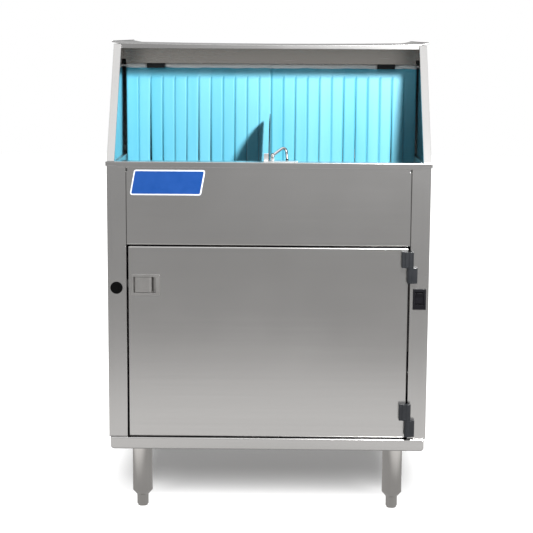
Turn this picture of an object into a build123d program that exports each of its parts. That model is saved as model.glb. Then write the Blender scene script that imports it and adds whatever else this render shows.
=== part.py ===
from build123d import *
import math
import os

# Rotary under-counter glass washer. Millimetres, +Z up, front facing -Y.
# The origin is on the floor, under the middle of the machine.

# Driving sizes of the cabinet
CABINET_WIDTH = 648.0
CABINET_DEPTH = 610.0
SHEET = 1.5
BASE_BOTTOM = 138.5
BASE_TOP = 162.5
DOOR_BOTTOM = 164.2
DOOR_TOP = 557.0
APRON_BOTTOM = 560.0
LEDGE_FACE_BOTTOM = 716.0
LEDGE_TOP = 727.5
LEDGE_DEPTH = 33.0
HOOD_UNDERSIDE = 958.5
HEIGHT = 965.0
HOOD_SETBACK = 152.0
STILE_WIDTH = 38.0
UPRIGHT_WIDTH = 15.5
FLANGE = 15.0
REAR_FITTING_REACH = 17.0

HALF = CABINET_WIDTH / 2
INNER = HALF - SHEET
FRONT = -CABINET_DEPTH / 2
BACK = CABINET_DEPTH / 2
STILE_EDGE = HALF - STILE_WIDTH
UPRIGHT_EDGE = HALF - UPRIGHT_WIDTH
HOOD_FRONT = FRONT + HOOD_SETBACK
LEDGE_BACK = FRONT + LEDGE_DEPTH

# Curtain, header and the rod that they share
CURTAIN_Y = 33.0
ROD_Z = 911.0
ROD_RADIUS = 3.0
HEADER_FRONT = 24.0
HEADER_BOTTOM = 915.5
CURTAIN_BOTTOM = 692.0
CLIP_CENTRE = 252.5
CLIP_WIDTH = 38.0

# Tank and carousel
TANK_FLOOR = 566.0
TANK_RIM = 716.0
TANK_SIDE = 320.0
TANK_FRONT = -290.5
TANK_BACK = 296.0
DRIVE_TUBE_RADIUS = 25.0
DRIVE_TUBE_BORE = 22.0
DRIVE_TUBE_TOP = 652.0
DECK_RADIUS = 284.0
DECK_TOP = 684.0
DECK_THICKNESS = 6.0
SHAFT_RADIUS = 10.0
RUNNING_GAP = 0.05
FIN_THICKNESS = 2.4
BEND_RADIUS = 2.0
DOOR_TOP_RADIUS = 3.4
HUB_TOP = 690.0

# Pipework places (x, y)
WASH_CORNER = (-268.0, 244.0)
RINSE_CORNER = (270.0, 250.0)
DRAIN_PLACE = (-272.0, -236.0)
SUCTION_PLACE = (110.0, 60.0)
WASH_RADIUS = 16.0
RINSE_RADIUS = 9.0
LOWER_ARM_Z = 640.0
UPPER_ARM_Z = 915.0
SCREEN_Z = 602.0
DRAIN_SPIGOT_RADIUS = 19.0
INLET_RADIUS = 10.4

# Pump, on a fore-and-aft centre line with its shaft along X
PUMP_Y = 60.0
PUMP_Z = 270.0
MOTOR_RADIUS = 65.0
MOTOR_LEFT = -190.0
MOTOR_RIGHT = -9.0
VOLUTE_RADIUS = 72.0

# Door, hinges and latch
DOOR_HALF = 282.5
DOOR_RETURN = 25.0
HINGE_X = 285.5
HINGE_REACH = 17.0
KNUCKLE_RADIUS = 6.4
HINGE_PIN_RADIUS = 2.5
HINGE_STEPS = [(487.0, 518.0, 550.5), (170.0, 203.5, 237.0)]
LATCH = (-247.6, 478.4)
LATCH_SIZE = (57.1, 43.0)
POCKET_LEFT = -271.8
POCKET_RIGHT = -226.9
POCKET_BOTTOM = 461.8
POCKET_TOP = 494.6
POCKET_DEPTH = 13.5
PADDLE_AXIS = (-268.4, FRONT + 5.0)

# Switch and hole plug, on the stiles
SWITCH_X = 305.7
SWITCH_Z = 452.8
SWITCH_SIZE = (26.6, 42.4)
ROCKER_Z = 454.9
ROCKER_HALF = (8.2, 11.0)
ROCKER_PIN_RADIUS = 1.5
ROCKER_PIN_DEPTH = 3.0
PLUG_X = -306.4
PLUG_Z = 471.8
PLUG_HOLE_RADIUS = 11.1

# Legs
LEG_X = 261.0
LEG_Y = 250.0
LEG_RADIUS = 20.65
LEG_FLOOR_GAP = 24.5
SHOULDER_TOP = 34.0
FOOT_TOP = 24.0
FOOT_STEM_RADIUS = 8.0

# Stop arm on the ledge
ARM_PIVOT = (7.2, 739.5)
BRACKET_BACK = -274.5

# Chemical dispenser heads under the tank
HEAD_XS = (-205.0, -140.0, -75.0)
HEAD_Z = 480.0
HEAD_PLATE_Y = -140.0
HEAD_RADIUS = 29.0
HEAD_DEPTH = 30.0


def block(x0, x1, y0, y1, z0, z1):
    """A box between two corners."""
    middle = Pos((x0 + x1) / 2, (y0 + y1) / 2, (z0 + z1) / 2)
    return middle * Box(x1 - x0, y1 - y0, z1 - z0)


def rod(start, end, radius):
    """A round bar from one point to another."""
    run = Vector(*end) - Vector(*start)
    bottom = (Align.CENTER, Align.CENTER, Align.MIN)
    return Plane(origin=start, z_dir=run).location * Cylinder(radius, run.length, align=bottom)


def upright_rod(place, z0, z1, radius):
    """A round bar along Z at a place (x, y)."""
    return rod((place[0], place[1], z0), (place[0], place[1], z1), radius)


def pipe(points, bend, radius, wall):
    """A bent tube along straight runs with rounded corners."""
    path = FilletPolyline(*points, radius=bend)
    start = Plane(origin=path @ 0, z_dir=path % 0)
    solid = sweep(start * Circle(radius), path=path)
    if wall <= 0:
        return solid
    return solid - sweep(start * Circle(radius - wall), path=path)


def side_slice(points, x0, x1):
    """A flat outline in Y and Z, given thickness along X."""
    outline = Plane.YZ.offset(x0) * make_face(Polyline(*points, close=True))
    return extrude(outline, amount=x1 - x0)


def soften(shape, radius, wanted):
    """Rounds the straight edges whose middle passes a test, as a press brake leaves a bend."""
    chosen = [edge for edge in shape.edges().filter_by(GeomType.LINE) if wanted(edge @ 0.5)]
    return fillet(chosen, radius)


def near(value, target):
    """True where a coordinate lies on a plane."""
    return abs(value - target) < 0.01


def mirrored(shape):
    """The same piece on the other side of the machine."""
    return mirror(shape, about=Plane.YZ)


# ---- cabinet sheet metal ----------------------------------------------------

def side_panel():
    """Right-hand side: skin, front stile, sloping hood upright and its fastening flanges."""
    outline = [
        (FRONT, BASE_TOP),
        (FRONT, LEDGE_TOP),
        (HOOD_FRONT, HOOD_UNDERSIDE),
        (BACK, HOOD_UNDERSIDE),
        (BACK, BASE_TOP),
    ]
    skin = side_slice(outline, INNER, HALF)
    slope = math.atan2(HOOD_SETBACK, HOOD_UNDERSIDE - LEDGE_TOP)
    thick = SHEET / math.cos(slope)
    hem = 7.0

    def sloping(depth, x0, x1):
        strip = [
            (FRONT, LEDGE_TOP),
            (HOOD_FRONT, HOOD_UNDERSIDE),
            (HOOD_FRONT + depth, HOOD_UNDERSIDE),
            (FRONT + depth, LEDGE_TOP),
        ]
        return side_slice(strip, x0, x1)

    stile_top = LEDGE_TOP - SHEET - 0.1
    panel = skin + block(STILE_EDGE, HALF, FRONT, FRONT + SHEET, BASE_TOP, stile_top)
    panel += block(STILE_EDGE, STILE_EDGE + SHEET, FRONT, FRONT + 13.5, BASE_TOP, 712)
    panel += sloping(thick, UPRIGHT_EDGE, HALF)
    panel += sloping(hem, UPRIGHT_EDGE, UPRIGHT_EDGE + SHEET)
    flange_x = HALF - FLANGE
    panel += block(flange_x, HALF, HOOD_FRONT + 1, BACK, HOOD_UNDERSIDE - SHEET, HOOD_UNDERSIDE)
    panel += block(flange_x, HALF, BACK - SHEET, BACK, BASE_TOP, HOOD_UNDERSIDE)
    panel += block(HALF - 20, HALF, FRONT, BACK, BASE_TOP, BASE_TOP + SHEET)
    for z in back_screw_heights():
        panel -= rod((back_screw_x(), BACK - 4, z), (back_screw_x(), BACK + 4, z), 2.3)
    panel = soften(panel, 1.2, lambda p: near(p.Y, FRONT) and near(p.X, STILE_EDGE))
    middle = (FRONT + HOOD_FRONT) / 2
    return soften(panel, 1.3, lambda p: near(p.X, UPRIGHT_EDGE) and near(p.Y, middle))


def back_screw_heights():
    return [220.0, 400.0, 580.0, 760.0, 930.0]


def back_screw_x():
    return HALF - 8.0


def right_side_panel():
    """The right side has the rectangular cut-out for the power switch."""
    half_width, half_height = 10.6, 18.4
    return side_panel() - block(
        SWITCH_X - half_width,
        SWITCH_X + half_width,
        FRONT - 2,
        FRONT + 4,
        SWITCH_Z - half_height,
        SWITCH_Z + half_height,
    )


def left_side_panel():
    """The left side has a spare round hole, closed by a snap-in plug."""
    hole = rod((PLUG_X, FRONT - 2, PLUG_Z), (PLUG_X, FRONT + 4, PLUG_Z), PLUG_HOLE_RADIUS)
    return mirrored(side_panel()) - hole


def back_panel():
    """Flat sheet screwed inside the rear flanges, with holes for the three services."""
    panel = block(-INNER + 0.1, INNER - 0.1, BACK - 2 * SHEET, BACK - SHEET, BASE_TOP + SHEET, 955.5)
    holes = [
        (DRAIN_PLACE[0], 215.0, 20.6),
        (RINSE_CORNER[0], 470.0, 11.2),
        (180.0, 250.0, 9.2),
    ]
    for x, z, radius in holes:
        panel -= rod((x, BACK - 8, z), (x, BACK + 4, z), radius)
    for z in back_screw_heights():
        for x in (-back_screw_x(), back_screw_x()):
            panel -= rod((x, BACK - 8, z), (x, BACK + 4, z), 2.3)
    return panel


def front_apron():
    """Fixed panel in front of the tank, folded back at its sides and bottom."""
    half = STILE_EDGE - 0.4
    fold = 12.0
    panel = block(-half, half, FRONT, FRONT + SHEET, APRON_BOTTOM, LEDGE_TOP - SHEET - 0.1)
    panel += block(-half, half, FRONT, FRONT + fold, APRON_BOTTOM, APRON_BOTTOM + SHEET)
    for side in (-1, 1):
        outer, inner = side * half, side * (half - SHEET)
        x0, x1 = min(outer, inner), max(outer, inner)
        panel += block(x0, x1, FRONT, FRONT + fold, APRON_BOTTOM, 708)
        notch_x0, notch_x1 = min(outer, side * (half - 3)), max(outer, side * (half - 3))
        panel -= block(notch_x0, notch_x1, FRONT - 1, FRONT + 4, 708, 714.5)
    return soften(
        panel,
        BEND_RADIUS,
        lambda p: near(p.Y, FRONT) and (near(p.Z, APRON_BOTTOM) or near(abs(p.X), half) and p.Z < 708),
    )


def counter_ledge():
    """Folded cap along the front of the tank: nose, flat top and inner drip flange."""
    cap_start = 304.0
    tip = HALF + 2.5
    ledge = block(-cap_start, cap_start, FRONT - SHEET, FRONT, LEDGE_FACE_BOTTOM, LEDGE_TOP)
    top_half = UPRIGHT_EDGE - 0.1
    ledge += block(-top_half, top_half, FRONT - SHEET, LEDGE_BACK, LEDGE_TOP - SHEET, LEDGE_TOP)
    ledge += block(-INNER + 0.1, INNER - 0.1, FRONT + 9, LEDGE_BACK, LEDGE_TOP - SHEET, LEDGE_TOP)
    ledge += block(-top_half, top_half, LEDGE_BACK - SHEET, LEDGE_BACK, 700, LEDGE_TOP)
    for side in (-1, 1):
        ends = sorted((side * cap_start, side * tip))
        ledge += block(*ends, FRONT - 1.1, FRONT, LEDGE_FACE_BOTTOM + 2.5, LEDGE_TOP - 0.5)
        wrap = sorted((side * HALF, side * tip))
        ledge += block(*wrap, FRONT - 1.1, FRONT + 12, LEDGE_FACE_BOTTOM + 2.5, LEDGE_TOP - 0.5)
    return soften(
        ledge, 1.4, lambda p: near(p.Z, LEDGE_TOP) and (near(p.Y, FRONT - SHEET) or near(p.Y, LEDGE_BACK))
    )


def hood_top():
    """Top sheet: sags a little in the middle, rises to a rim at each side, folds down in front."""
    sag = 2.5
    rim_reach = HALF + 4.0
    flat_end = UPRIGHT_EDGE - 0.1
    low = HOOD_UNDERSIDE
    high = HOOD_UNDERSIDE + SHEET
    rim_low = HEIGHT - 3.0
    edges = [
        ThreePointArc((-flat_end, low), (0, low - sag), (flat_end, low)),
        Polyline((flat_end, low), (rim_reach, rim_low), (rim_reach, HEIGHT), (rim_reach - 1, HEIGHT),
                 (rim_reach - 1, rim_low + SHEET), (flat_end, high)),
        ThreePointArc((flat_end, high), (0, high - sag), (-flat_end, high)),
        Polyline((-flat_end, high), (1 - rim_reach, rim_low + SHEET), (1 - rim_reach, HEIGHT),
                 (-rim_reach, HEIGHT), (-rim_reach, rim_low), (-flat_end, low)),
    ]
    profile = make_face(edges)
    sheet = extrude(Plane.XZ.offset(-BACK) * profile, amount=BACK - HOOD_FRONT)
    flange = block(-flat_end, flat_end, HOOD_FRONT, HOOD_FRONT + SHEET, 950, HOOD_UNDERSIDE - sag + 0.6)
    web = block(-flat_end, flat_end, HOOD_FRONT, HOOD_FRONT + SHEET, 950, HOOD_UNDERSIDE + 0.5)
    above = extrude(
        Plane.XZ.offset(-HOOD_FRONT - 10)
        * make_face(
            [
                ThreePointArc((-flat_end, low + 0.2), (0, low - sag + 0.2), (flat_end, low + 0.2)),
                Polyline((flat_end, low + 0.2), (flat_end, low + 9), (-flat_end, low + 9),
                         (-flat_end, low + 0.2)),
            ]
        ),
        amount=20,
    )
    return sheet + flange + (web - above)


def hood_header():
    """Panel above the curtain, with a joggled left end and a fixing foot on each side wall."""
    half = 317.5
    joggle = 11.0
    top = 953.5
    panel = block(-half + joggle, half, HEADER_FRONT, HEADER_FRONT + SHEET, HEADER_BOTTOM, top)
    set_back = HEADER_FRONT + SHEET
    panel += block(-half, -half + joggle, HEADER_FRONT + 1, set_back + 1, HEADER_BOTTOM, top)
    panel += block(-half, half, HEADER_FRONT + 1, HEADER_FRONT + 20, top - SHEET, top)
    for side in (-1, 1):
        foot = sorted((side * (half - SHEET), side * (INNER - 0.05)))
        panel += block(*foot, set_back, set_back + SHEET, 925, top)
        pad = sorted((side * (INNER - SHEET), side * (INNER - 0.05)))
        panel += block(*pad, set_back, set_back + 16, 925, top)
    return panel


def base_pan():
    """Drip tray that the cabinet stands on, a little proud of the front, with soft lower corners."""
    half = 320.5
    proud = 8.0
    corner = 7.0
    outer = block(-half, half, FRONT - proud, BACK, BASE_BOTTOM, BASE_TOP)
    outer = fillet(outer.edges().group_by(Axis.Z)[0].filter_by(Axis.Y), corner)
    cavity = block(
        -half + SHEET,
        half - SHEET,
        FRONT - proud + SHEET,
        BACK - SHEET,
        BASE_BOTTOM + SHEET,
        BASE_TOP + 5,
    )
    cavity = fillet(cavity.edges().group_by(Axis.Z)[0].filter_by(Axis.Y), corner - SHEET)
    rim = block(-half, half, FRONT - proud, BACK, BASE_TOP - SHEET, BASE_TOP)
    rim -= block(-half + 24, half - 24, FRONT + 18, BACK - 20, BASE_TOP - 5, BASE_TOP + 5)
    pan = (outer - cavity) + rim
    front_edges = [BASE_BOTTOM, BASE_TOP]
    pan = soften(
        pan, BEND_RADIUS, lambda p: near(p.Y, FRONT - proud) and any(near(p.Z, z) for z in front_edges)
    )
    for x in (-LEG_X, LEG_X):
        for y in (-LEG_Y, LEG_Y):
            pan -= upright_rod((x, y), BASE_BOTTOM - 5, BASE_BOTTOM + 5, LEG_RADIUS + 0.3)
    return pan


def badge_plate():
    """Blank leaning name plate."""
    corners = [(-279.5, 660.4), (-134.6, 660.4), (-125.2, 711.2), (-270.1, 711.2)]
    face = make_face(Polyline(*corners, close=True))
    face = fillet(face.vertices(), 5.0)
    return extrude(Plane.XZ.offset(-FRONT) * face, amount=0.8)


def hole_plug():
    """Snap-in plastic plug: domed head and a hollow barrel."""
    head = rod((PLUG_X, FRONT, PLUG_Z), (PLUG_X, FRONT - 2.2, PLUG_Z), 12.4)
    head = fillet(head.edges().sort_by(Axis.Y)[0], 1.4)
    barrel = rod((PLUG_X, FRONT, PLUG_Z), (PLUG_X, FRONT + 9, PLUG_Z), PLUG_HOLE_RADIUS - 0.2)
    barrel -= rod((PLUG_X, FRONT + 1, PLUG_Z), (PLUG_X, FRONT + 12, PLUG_Z), PLUG_HOLE_RADIUS - 2)
    return head + barrel


def back_screws():
    """Pan-head screws that hold the back panel to the side flanges."""
    screws = []
    for z in back_screw_heights():
        for x in (-back_screw_x(), back_screw_x()):
            head = rod((x, BACK, z), (x, BACK + 2.6, z), 4.2)
            head = fillet(head.edges().sort_by(Axis.Y)[-1], 1.2)
            slot = block(x - 3, x + 3, BACK + 1.6, BACK + 3, z - 0.5, z + 0.5)
            slot += block(x - 0.5, x + 0.5, BACK + 1.6, BACK + 3, z - 3, z + 3)
            screws.append(head - slot + rod((x, BACK - 8, z), (x, BACK, z), 2.0))
    return Compound(children=screws)


# ---- legs --------------------------------------------------------------------

def leg_tube(x, y):
    """Tube through the base pan, with a gusset above it and a threaded, tapered end."""
    bottom = (Align.CENTER, Align.CENTER, Align.MIN)
    shoulder = Pos(x, y, LEG_FLOOR_GAP) * Cone(
        12.5, LEG_RADIUS, SHOULDER_TOP - LEG_FLOOR_GAP, align=bottom
    )
    tube = upright_rod((x, y), SHOULDER_TOP, 152, LEG_RADIUS)
    tube -= upright_rod((x, y), SHOULDER_TOP + 26, 153, LEG_RADIUS - 1.6)
    gusset = block(x - 36, x + 36, y - 36, y + 36, BASE_BOTTOM + SHEET, BASE_BOTTOM + SHEET + 3)
    stem_hole = upright_rod((x, y), LEG_FLOOR_GAP - 1, SHOULDER_TOP + 40, FOOT_STEM_RADIUS + 0.08)
    gusset -= upright_rod((x, y), BASE_BOTTOM, BASE_BOTTOM + 10, LEG_RADIUS - 1.6)
    return shoulder + tube + gusset - stem_hole


def leg_tubes():
    places = [(x, y) for x in (-LEG_X, LEG_X) for y in (-LEG_Y, LEG_Y)]
    return Compound(children=[leg_tube(x, y) for x, y in places])


def adjustable_foot(x, y):
    """Six-sided foot on a threaded stem; it screws down out of its leg."""
    foot = Pos(x, y, 3) * extrude(RegularPolygon(12.0, 6), amount=FOOT_TOP - 3)
    pad = upright_rod((x, y), 0, 3, 10.0)
    stem = upright_rod((x, y), FOOT_TOP, SHOULDER_TOP + 38, FOOT_STEM_RADIUS)
    return foot + pad + stem


# ---- tank --------------------------------------------------------------------

def wash_tank():
    """Open tank with a turned-out rim, the fixed drive tube and the holes for its fittings."""
    tank = block(-TANK_SIDE, TANK_SIDE, TANK_FRONT, TANK_BACK, TANK_FLOOR, TANK_RIM)
    tank -= block(
        -TANK_SIDE + SHEET,
        TANK_SIDE - SHEET,
        TANK_FRONT + SHEET,
        TANK_BACK - SHEET,
        TANK_FLOOR + SHEET,
        TANK_RIM + 5,
    )
    rim_front, rim_back = FRONT + SHEET + 0.1, BACK - 2 * SHEET - 0.1
    rim = block(-INNER + 0.1, INNER - 0.1, rim_front, rim_back, TANK_RIM - SHEET, TANK_RIM)
    rim -= block(-TANK_SIDE, TANK_SIDE, TANK_FRONT, TANK_BACK, TANK_RIM - 5, TANK_RIM + 5)
    tank += rim
    tank += upright_rod((0, 0), TANK_FLOOR, DRIVE_TUBE_TOP, DRIVE_TUBE_RADIUS)
    tank -= upright_rod((0, 0), TANK_FLOOR - 1, DRIVE_TUBE_TOP + 1, DRIVE_TUBE_BORE)
    holes = [(WASH_CORNER, WASH_RADIUS), (RINSE_CORNER, RINSE_RADIUS), (SUCTION_PLACE, 17.0)]
    holes += [(DRAIN_PLACE, 20.0), ((150.0, -80.0), 4.0), ((200.0, -80.0), 4.0)]
    for place, radius in holes:
        tank -= upright_rod(place, TANK_FLOOR - 2, TANK_FLOOR + 4, radius + 0.4)
    return tank


def scrap_screen():
    """Slotted sheet above the tank floor; four feet hold it off the floor."""
    sheet = block(-316, 316, -286, 292, SCREEN_Z, SCREEN_Z + 1.2)
    slots = []
    for column in range(-6, 7):
        for row in range(-5, 6):
            x, y = column * 46.0, row * 50.0 + 3
            if math.hypot(x, y) > 70 and abs(x) < 245:
                slots.append(block(x - 15, x + 15, y - 4, y + 4, SCREEN_Z - 2, SCREEN_Z + 3))
    sheet -= Compound(children=slots)
    openings = [((0.0, 0.0), 30.0), (WASH_CORNER, 20.0), (RINSE_CORNER, 13.0), (DRAIN_PLACE, 21.0)]
    for place, radius in openings:
        sheet -= upright_rod(place, SCREEN_Z - 2, SCREEN_Z + 3, radius)
    for x in (-300, 300):
        for y in (-150, 150):
            sheet += block(x - 8, x + 8, y - 8, y + 8, TANK_FLOOR + SHEET, SCREEN_Z)
    return sheet


def tank_heater():
    """Hairpin element through the tank floor on a flange, with a terminal cap below."""
    left, right, near, far, level = 150.0, 200.0, -80.0, 190.0, 585.0
    points = [
        (left, near, 560),
        (left, near, level),
        (left, far, level),
        (right, far, level),
        (right, near, level),
        (right, near, 560),
    ]
    element = pipe(points, 12.0, 4.0, 0)
    flange = block(left - 18, right + 18, near - 20, near + 20, 561.5, TANK_FLOOR)
    cap = block(left - 12, right + 12, near - 14, near + 14, 535, 561.5)
    return element + flange + cap


def overflow_standpipe():
    """Lift-out overflow tube: it stands in the drain, open at the top, with a pull bar."""
    tube = upright_rod(DRAIN_PLACE, 556, 655, 16.0) - upright_rod(DRAIN_PLACE, 550, 660, 13.5)
    x, y = DRAIN_PLACE
    bar = rod((x - 14.5, y, 648), (x + 14.5, y, 648), 2.5)
    collar = upright_rod(DRAIN_PLACE, 574, 580, 19.0) - upright_rod(DRAIN_PLACE, 570, 584, 15.5)
    return tube + bar + collar


def drain_pipe():
    """Drain seat in the tank floor and the pipe from it out through the back."""
    x, y = DRAIN_PLACE
    points = [(x, y, 552), (x, y, 215), (x, BACK + REAR_FITTING_REACH, 215)]
    run = pipe(points, 45.0, 20.0, 2.5)
    seat = upright_rod(DRAIN_PLACE, 545, 571, 20.0) + upright_rod(DRAIN_PLACE, 567.5, 571, 27.0)
    seat += upright_rod(DRAIN_PLACE, 560, TANK_FLOOR, 27.0)
    seat -= upright_rod(DRAIN_PLACE, 540, 575, 16.3)
    drain = run - upright_rod(DRAIN_PLACE, 545, 575, 30.0) + seat
    turned_down = rod((x, BACK, 215), (x, BACK + 30, 215), 25.0)
    turned_down -= rod((x, BACK - 1, 215), (x, BACK + 31, 215), DRAIN_SPIGOT_RADIUS)
    return drain - turned_down


# ---- carousel ------------------------------------------------------------------

def carousel_rack():
    """Open round deck of rings and spokes on a hub that caps the drive tube."""
    grid = Circle(DECK_RADIUS) - Circle(DECK_RADIUS - 9)
    for radius in range(70, 270, 25):
        grid += Circle(radius) - Circle(radius - 5)
    for spoke in range(6):
        grid += Rot(0, 0, spoke * 30) * Rectangle(2 * DECK_RADIUS - 6, 8)
    grid += Circle(42)
    deck = Pos(0, 0, DECK_TOP - DECK_THICKNESS) * extrude(grid, amount=DECK_THICKNESS)
    hub = upright_rod((0, 0), 657, HUB_TOP, 35.0)
    hub = fillet(hub.edges().sort_by(Axis.Z)[-1], 4.0)
    skirt = upright_rod((0, 0), 640, 657, 35.0) - upright_rod((0, 0), 630, 657, 29.0)
    return deck + hub + skirt - upright_rod((0, 0), 650, 675, SHAFT_RADIUS + 0.02)


def drive_shaft():
    """Vertical shaft from the gearbox to the hub, with a ground flat where the gearbox drives it."""
    shaft = upright_rod((0, 0), 485, 675, SHAFT_RADIUS)
    return shaft - block(8.2, 12, -12, 12, 484, 520)


def shaft_bearings():
    """Flanged bushes at the foot and the head of the drive tube."""
    pair = []
    for low, high in ((TANK_FLOOR, TANK_FLOOR + 16), (636.0, DRIVE_TUBE_TOP)):
        bush = upright_rod((0, 0), low, high, DRIVE_TUBE_BORE - 0.02)
        pair.append(bush - upright_rod((0, 0), low - 1, high + 1, SHAFT_RADIUS + RUNNING_GAP))
    return Compound(children=pair)


def gearmotor():
    """Gearbox hung under the tank on two straps, with its motor pointing at the door."""
    case = block(-50, 50, -50, 50, 478, 538)
    case = fillet(case.edges().filter_by(Axis.Z), 8.0)
    motor = rod((0, -50, 508), (0, -170, 508), 36.0) + rod((0, -170, 508), (0, -182, 508), 32.0)
    body = case + motor
    for x in (-44, 36):
        body += block(x, x + 8, -24, 24, 538, TANK_FLOOR)
    body -= upright_rod((0, 0), 480, 570, SHAFT_RADIUS + RUNNING_GAP)
    return body


# ---- wash and rinse pipework ---------------------------------------------------

def spray_arm(corner, height, radius, collar, jets_up):
    """Closed tube from a corner riser towards the middle, with cone jets along it."""
    away = Vector(-corner[0], -corner[1], 0).normalized()
    reach = math.hypot(*corner) - 112.0
    start = Vector(corner[0], corner[1], height)
    tip = start + away * reach
    arm = rod(tuple(start), tuple(tip), radius)
    arm += upright_rod(corner, height - collar * 0.8, height + collar * 0.8, collar)
    way = 1 if jets_up else -1
    for share in (0.3, 0.5, 0.7, 0.9):
        foot = start + away * (reach * share)
        top = foot + Vector(0, 0, way * (radius + 5))
        arm += rod(tuple(foot), tuple(top), 4.5)
    return arm


def arm_pair(corner, radius, riser_radius, collar):
    """Lower arm with jets up and upper arm with jets down, on one riser."""
    arms = []
    for height, jets_up in ((LOWER_ARM_Z, True), (UPPER_ARM_Z, False)):
        arm = spray_arm(corner, height, radius, collar, jets_up)
        arms.append(arm - upright_rod(corner, height - 40, height + 40, riser_radius))
    return Compound(children=arms)


def wash_arms():
    return arm_pair(WASH_CORNER, 12.0, WASH_RADIUS, 21.0)


def rinse_arms():
    return arm_pair(RINSE_CORNER, 7.0, RINSE_RADIUS, 13.0)


def wash_riser():
    return upright_rod(WASH_CORNER, 545, 932, WASH_RADIUS) - upright_rod(WASH_CORNER, 540, 928, 13.5)


def rinse_riser():
    return upright_rod(RINSE_CORNER, 498, 926, RINSE_RADIUS) - upright_rod(RINSE_CORNER, 490, 922, 7)


def rinse_valve():
    """Water valve: body, coil on top of it, and the threaded inlet through the back panel."""
    x, y = RINSE_CORNER
    inlet_z = 470.0
    body = block(x - 18, x + 18, y - 20, y + 30, inlet_z - 16, inlet_z + 16)
    body += upright_rod(RINSE_CORNER, inlet_z, 498, 13.0)
    body += rod((x, y, inlet_z), (x, BACK, inlet_z), INLET_RADIUS + 0.4)
    body += rod((x, y, inlet_z), (x, BACK + REAR_FITTING_REACH, inlet_z), INLET_RADIUS)
    coil = rod((x - 18, y, inlet_z), (x - 62, y, inlet_z), 17.0)
    bore = rod((x, y, inlet_z), (x, BACK + REAR_FITTING_REACH + 1, inlet_z), 7.0)
    return body + coil - bore


def suction_pipe():
    """Tank outlet flange and the bend down to the pump inlet."""
    x, y = SUCTION_PLACE
    run = pipe([(x, y, TANK_FLOOR), (x, y, PUMP_Z), (60, y, PUMP_Z)], 30.0, 20.0, 3.0)
    return run + upright_rod(SUCTION_PLACE, 560, TANK_FLOOR, 28.0) - upright_rod(SUCTION_PLACE, 500, 570, 17)


def discharge_pipe():
    """Pump outlet to the foot of the wash riser."""
    x, y = WASH_CORNER
    points = [(17, PUMP_Y + 44, 356), (17, PUMP_Y + 44, 440), (x, y, 440), (x, y, 545)]
    return pipe(points, 38.0, 20.0, 3.0)


# ---- pump ----------------------------------------------------------------------

def along_x(x0, x1, radius):
    """A round bar on the pump's shaft line."""
    return rod((x0, PUMP_Y, PUMP_Z), (x1, PUMP_Y, PUMP_Z), radius)


def pump_motor():
    """Motor with a ribbed barrel, an end bell and a terminal box."""
    motor = along_x(MOTOR_LEFT, MOTOR_RIGHT, MOTOR_RADIUS - 4)
    motor += along_x(MOTOR_RIGHT - 12, MOTOR_RIGHT, MOTOR_RADIUS)
    for rib in range(9):
        x = MOTOR_LEFT + 22 + rib * 15
        motor += along_x(x, x + 5, MOTOR_RADIUS)
    top = PUMP_Z + MOTOR_RADIUS
    motor += block(-130, -70, PUMP_Y - 28, PUMP_Y + 28, top - 10, top + 26)
    return motor - along_x(-70, MOTOR_RIGHT + 1, 8.05)


def pump_bracket():
    """Folded stand under the motor."""
    floor = BASE_BOTTOM + SHEET
    stand = block(-185, -30, PUMP_Y - 55, PUMP_Y + 55, floor, floor + 3)
    for x in (-172, -52):
        stand += block(x, x + 12, PUMP_Y - 50, PUMP_Y + 50, floor, PUMP_Z - 25)
    return stand - along_x(-200, -20, MOTOR_RADIUS + 0.05)


def pump_housing():
    """Volute with an axial inlet and a tangential outlet."""
    case = along_x(-9, 42, VOLUTE_RADIUS) + along_x(42, 60, 24)
    outlet_y = PUMP_Y + 44
    case += rod((17, outlet_y, PUMP_Z), (17, outlet_y, 356), 22)
    case -= along_x(-4, 36, 61)
    case -= along_x(30, 61, 17)
    case -= along_x(-10, 0, 8.06)
    return case - rod((17, outlet_y, PUMP_Z), (17, outlet_y, 357), 16.0)


def pump_impeller():
    """Backing disc with six curved-back vanes, on the motor shaft."""
    wheel = along_x(2, 7, 52) + along_x(-68, 14, 8)
    for vane in range(6):
        blade = Pos(14, 0, 30) * Box(16, 4, 36)
        wheel += Pos(0, PUMP_Y, PUMP_Z) * Rot(vane * 60, 0, 0) * blade
    return wheel


# ---- electrics and dispensers --------------------------------------------------

def control_box():
    """Steel box on the right wall, behind the switch, with a lid folded over its open side."""
    box = block(240, INNER, -240, -70, 330, 540)
    box -= block(239, INNER - SHEET, -240 + SHEET, -70 - SHEET, 330 + SHEET, 540 - SHEET)
    lid = block(238.4, 240, -241.8, -68.2, 328.2, 541.8)
    lid += block(238.4, 252, -241.8, -68.2, 328.2, 541.8) - block(
        238, 253, -240.2, -69.8, 329.8, 540.2
    )
    return Compound(children=[box, lid])


def switch_bezel():
    """Frame and body of the power switch."""
    half_x, half_z = SWITCH_SIZE[0] / 2, SWITCH_SIZE[1] / 2
    frame = block(
        SWITCH_X - half_x, SWITCH_X + half_x, FRONT - 3, FRONT, SWITCH_Z - half_z, SWITCH_Z + half_z
    )
    frame = fillet(frame.edges().sort_by(Axis.Y)[:4], 1.2)
    body = block(SWITCH_X - 10.4, SWITCH_X + 10.4, FRONT, FRONT + 26, SWITCH_Z - 18.2, SWITCH_Z + 18.2)
    well = block(
        SWITCH_X - 8.6, SWITCH_X + 8.6, FRONT - 4, FRONT + 14, ROCKER_Z - 12.8, ROCKER_Z + 12.8
    )
    return frame + body - well - rocker_pivot(9.8, ROCKER_PIN_RADIUS + RUNNING_GAP)


def rocker_pivot(half_length, radius):
    """A round bar on the line that the rocker tips about."""
    y = FRONT + ROCKER_PIN_DEPTH
    return rod((SWITCH_X - half_length, y, ROCKER_Z), (SWITCH_X + half_length, y, ROCKER_Z), radius)


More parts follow.
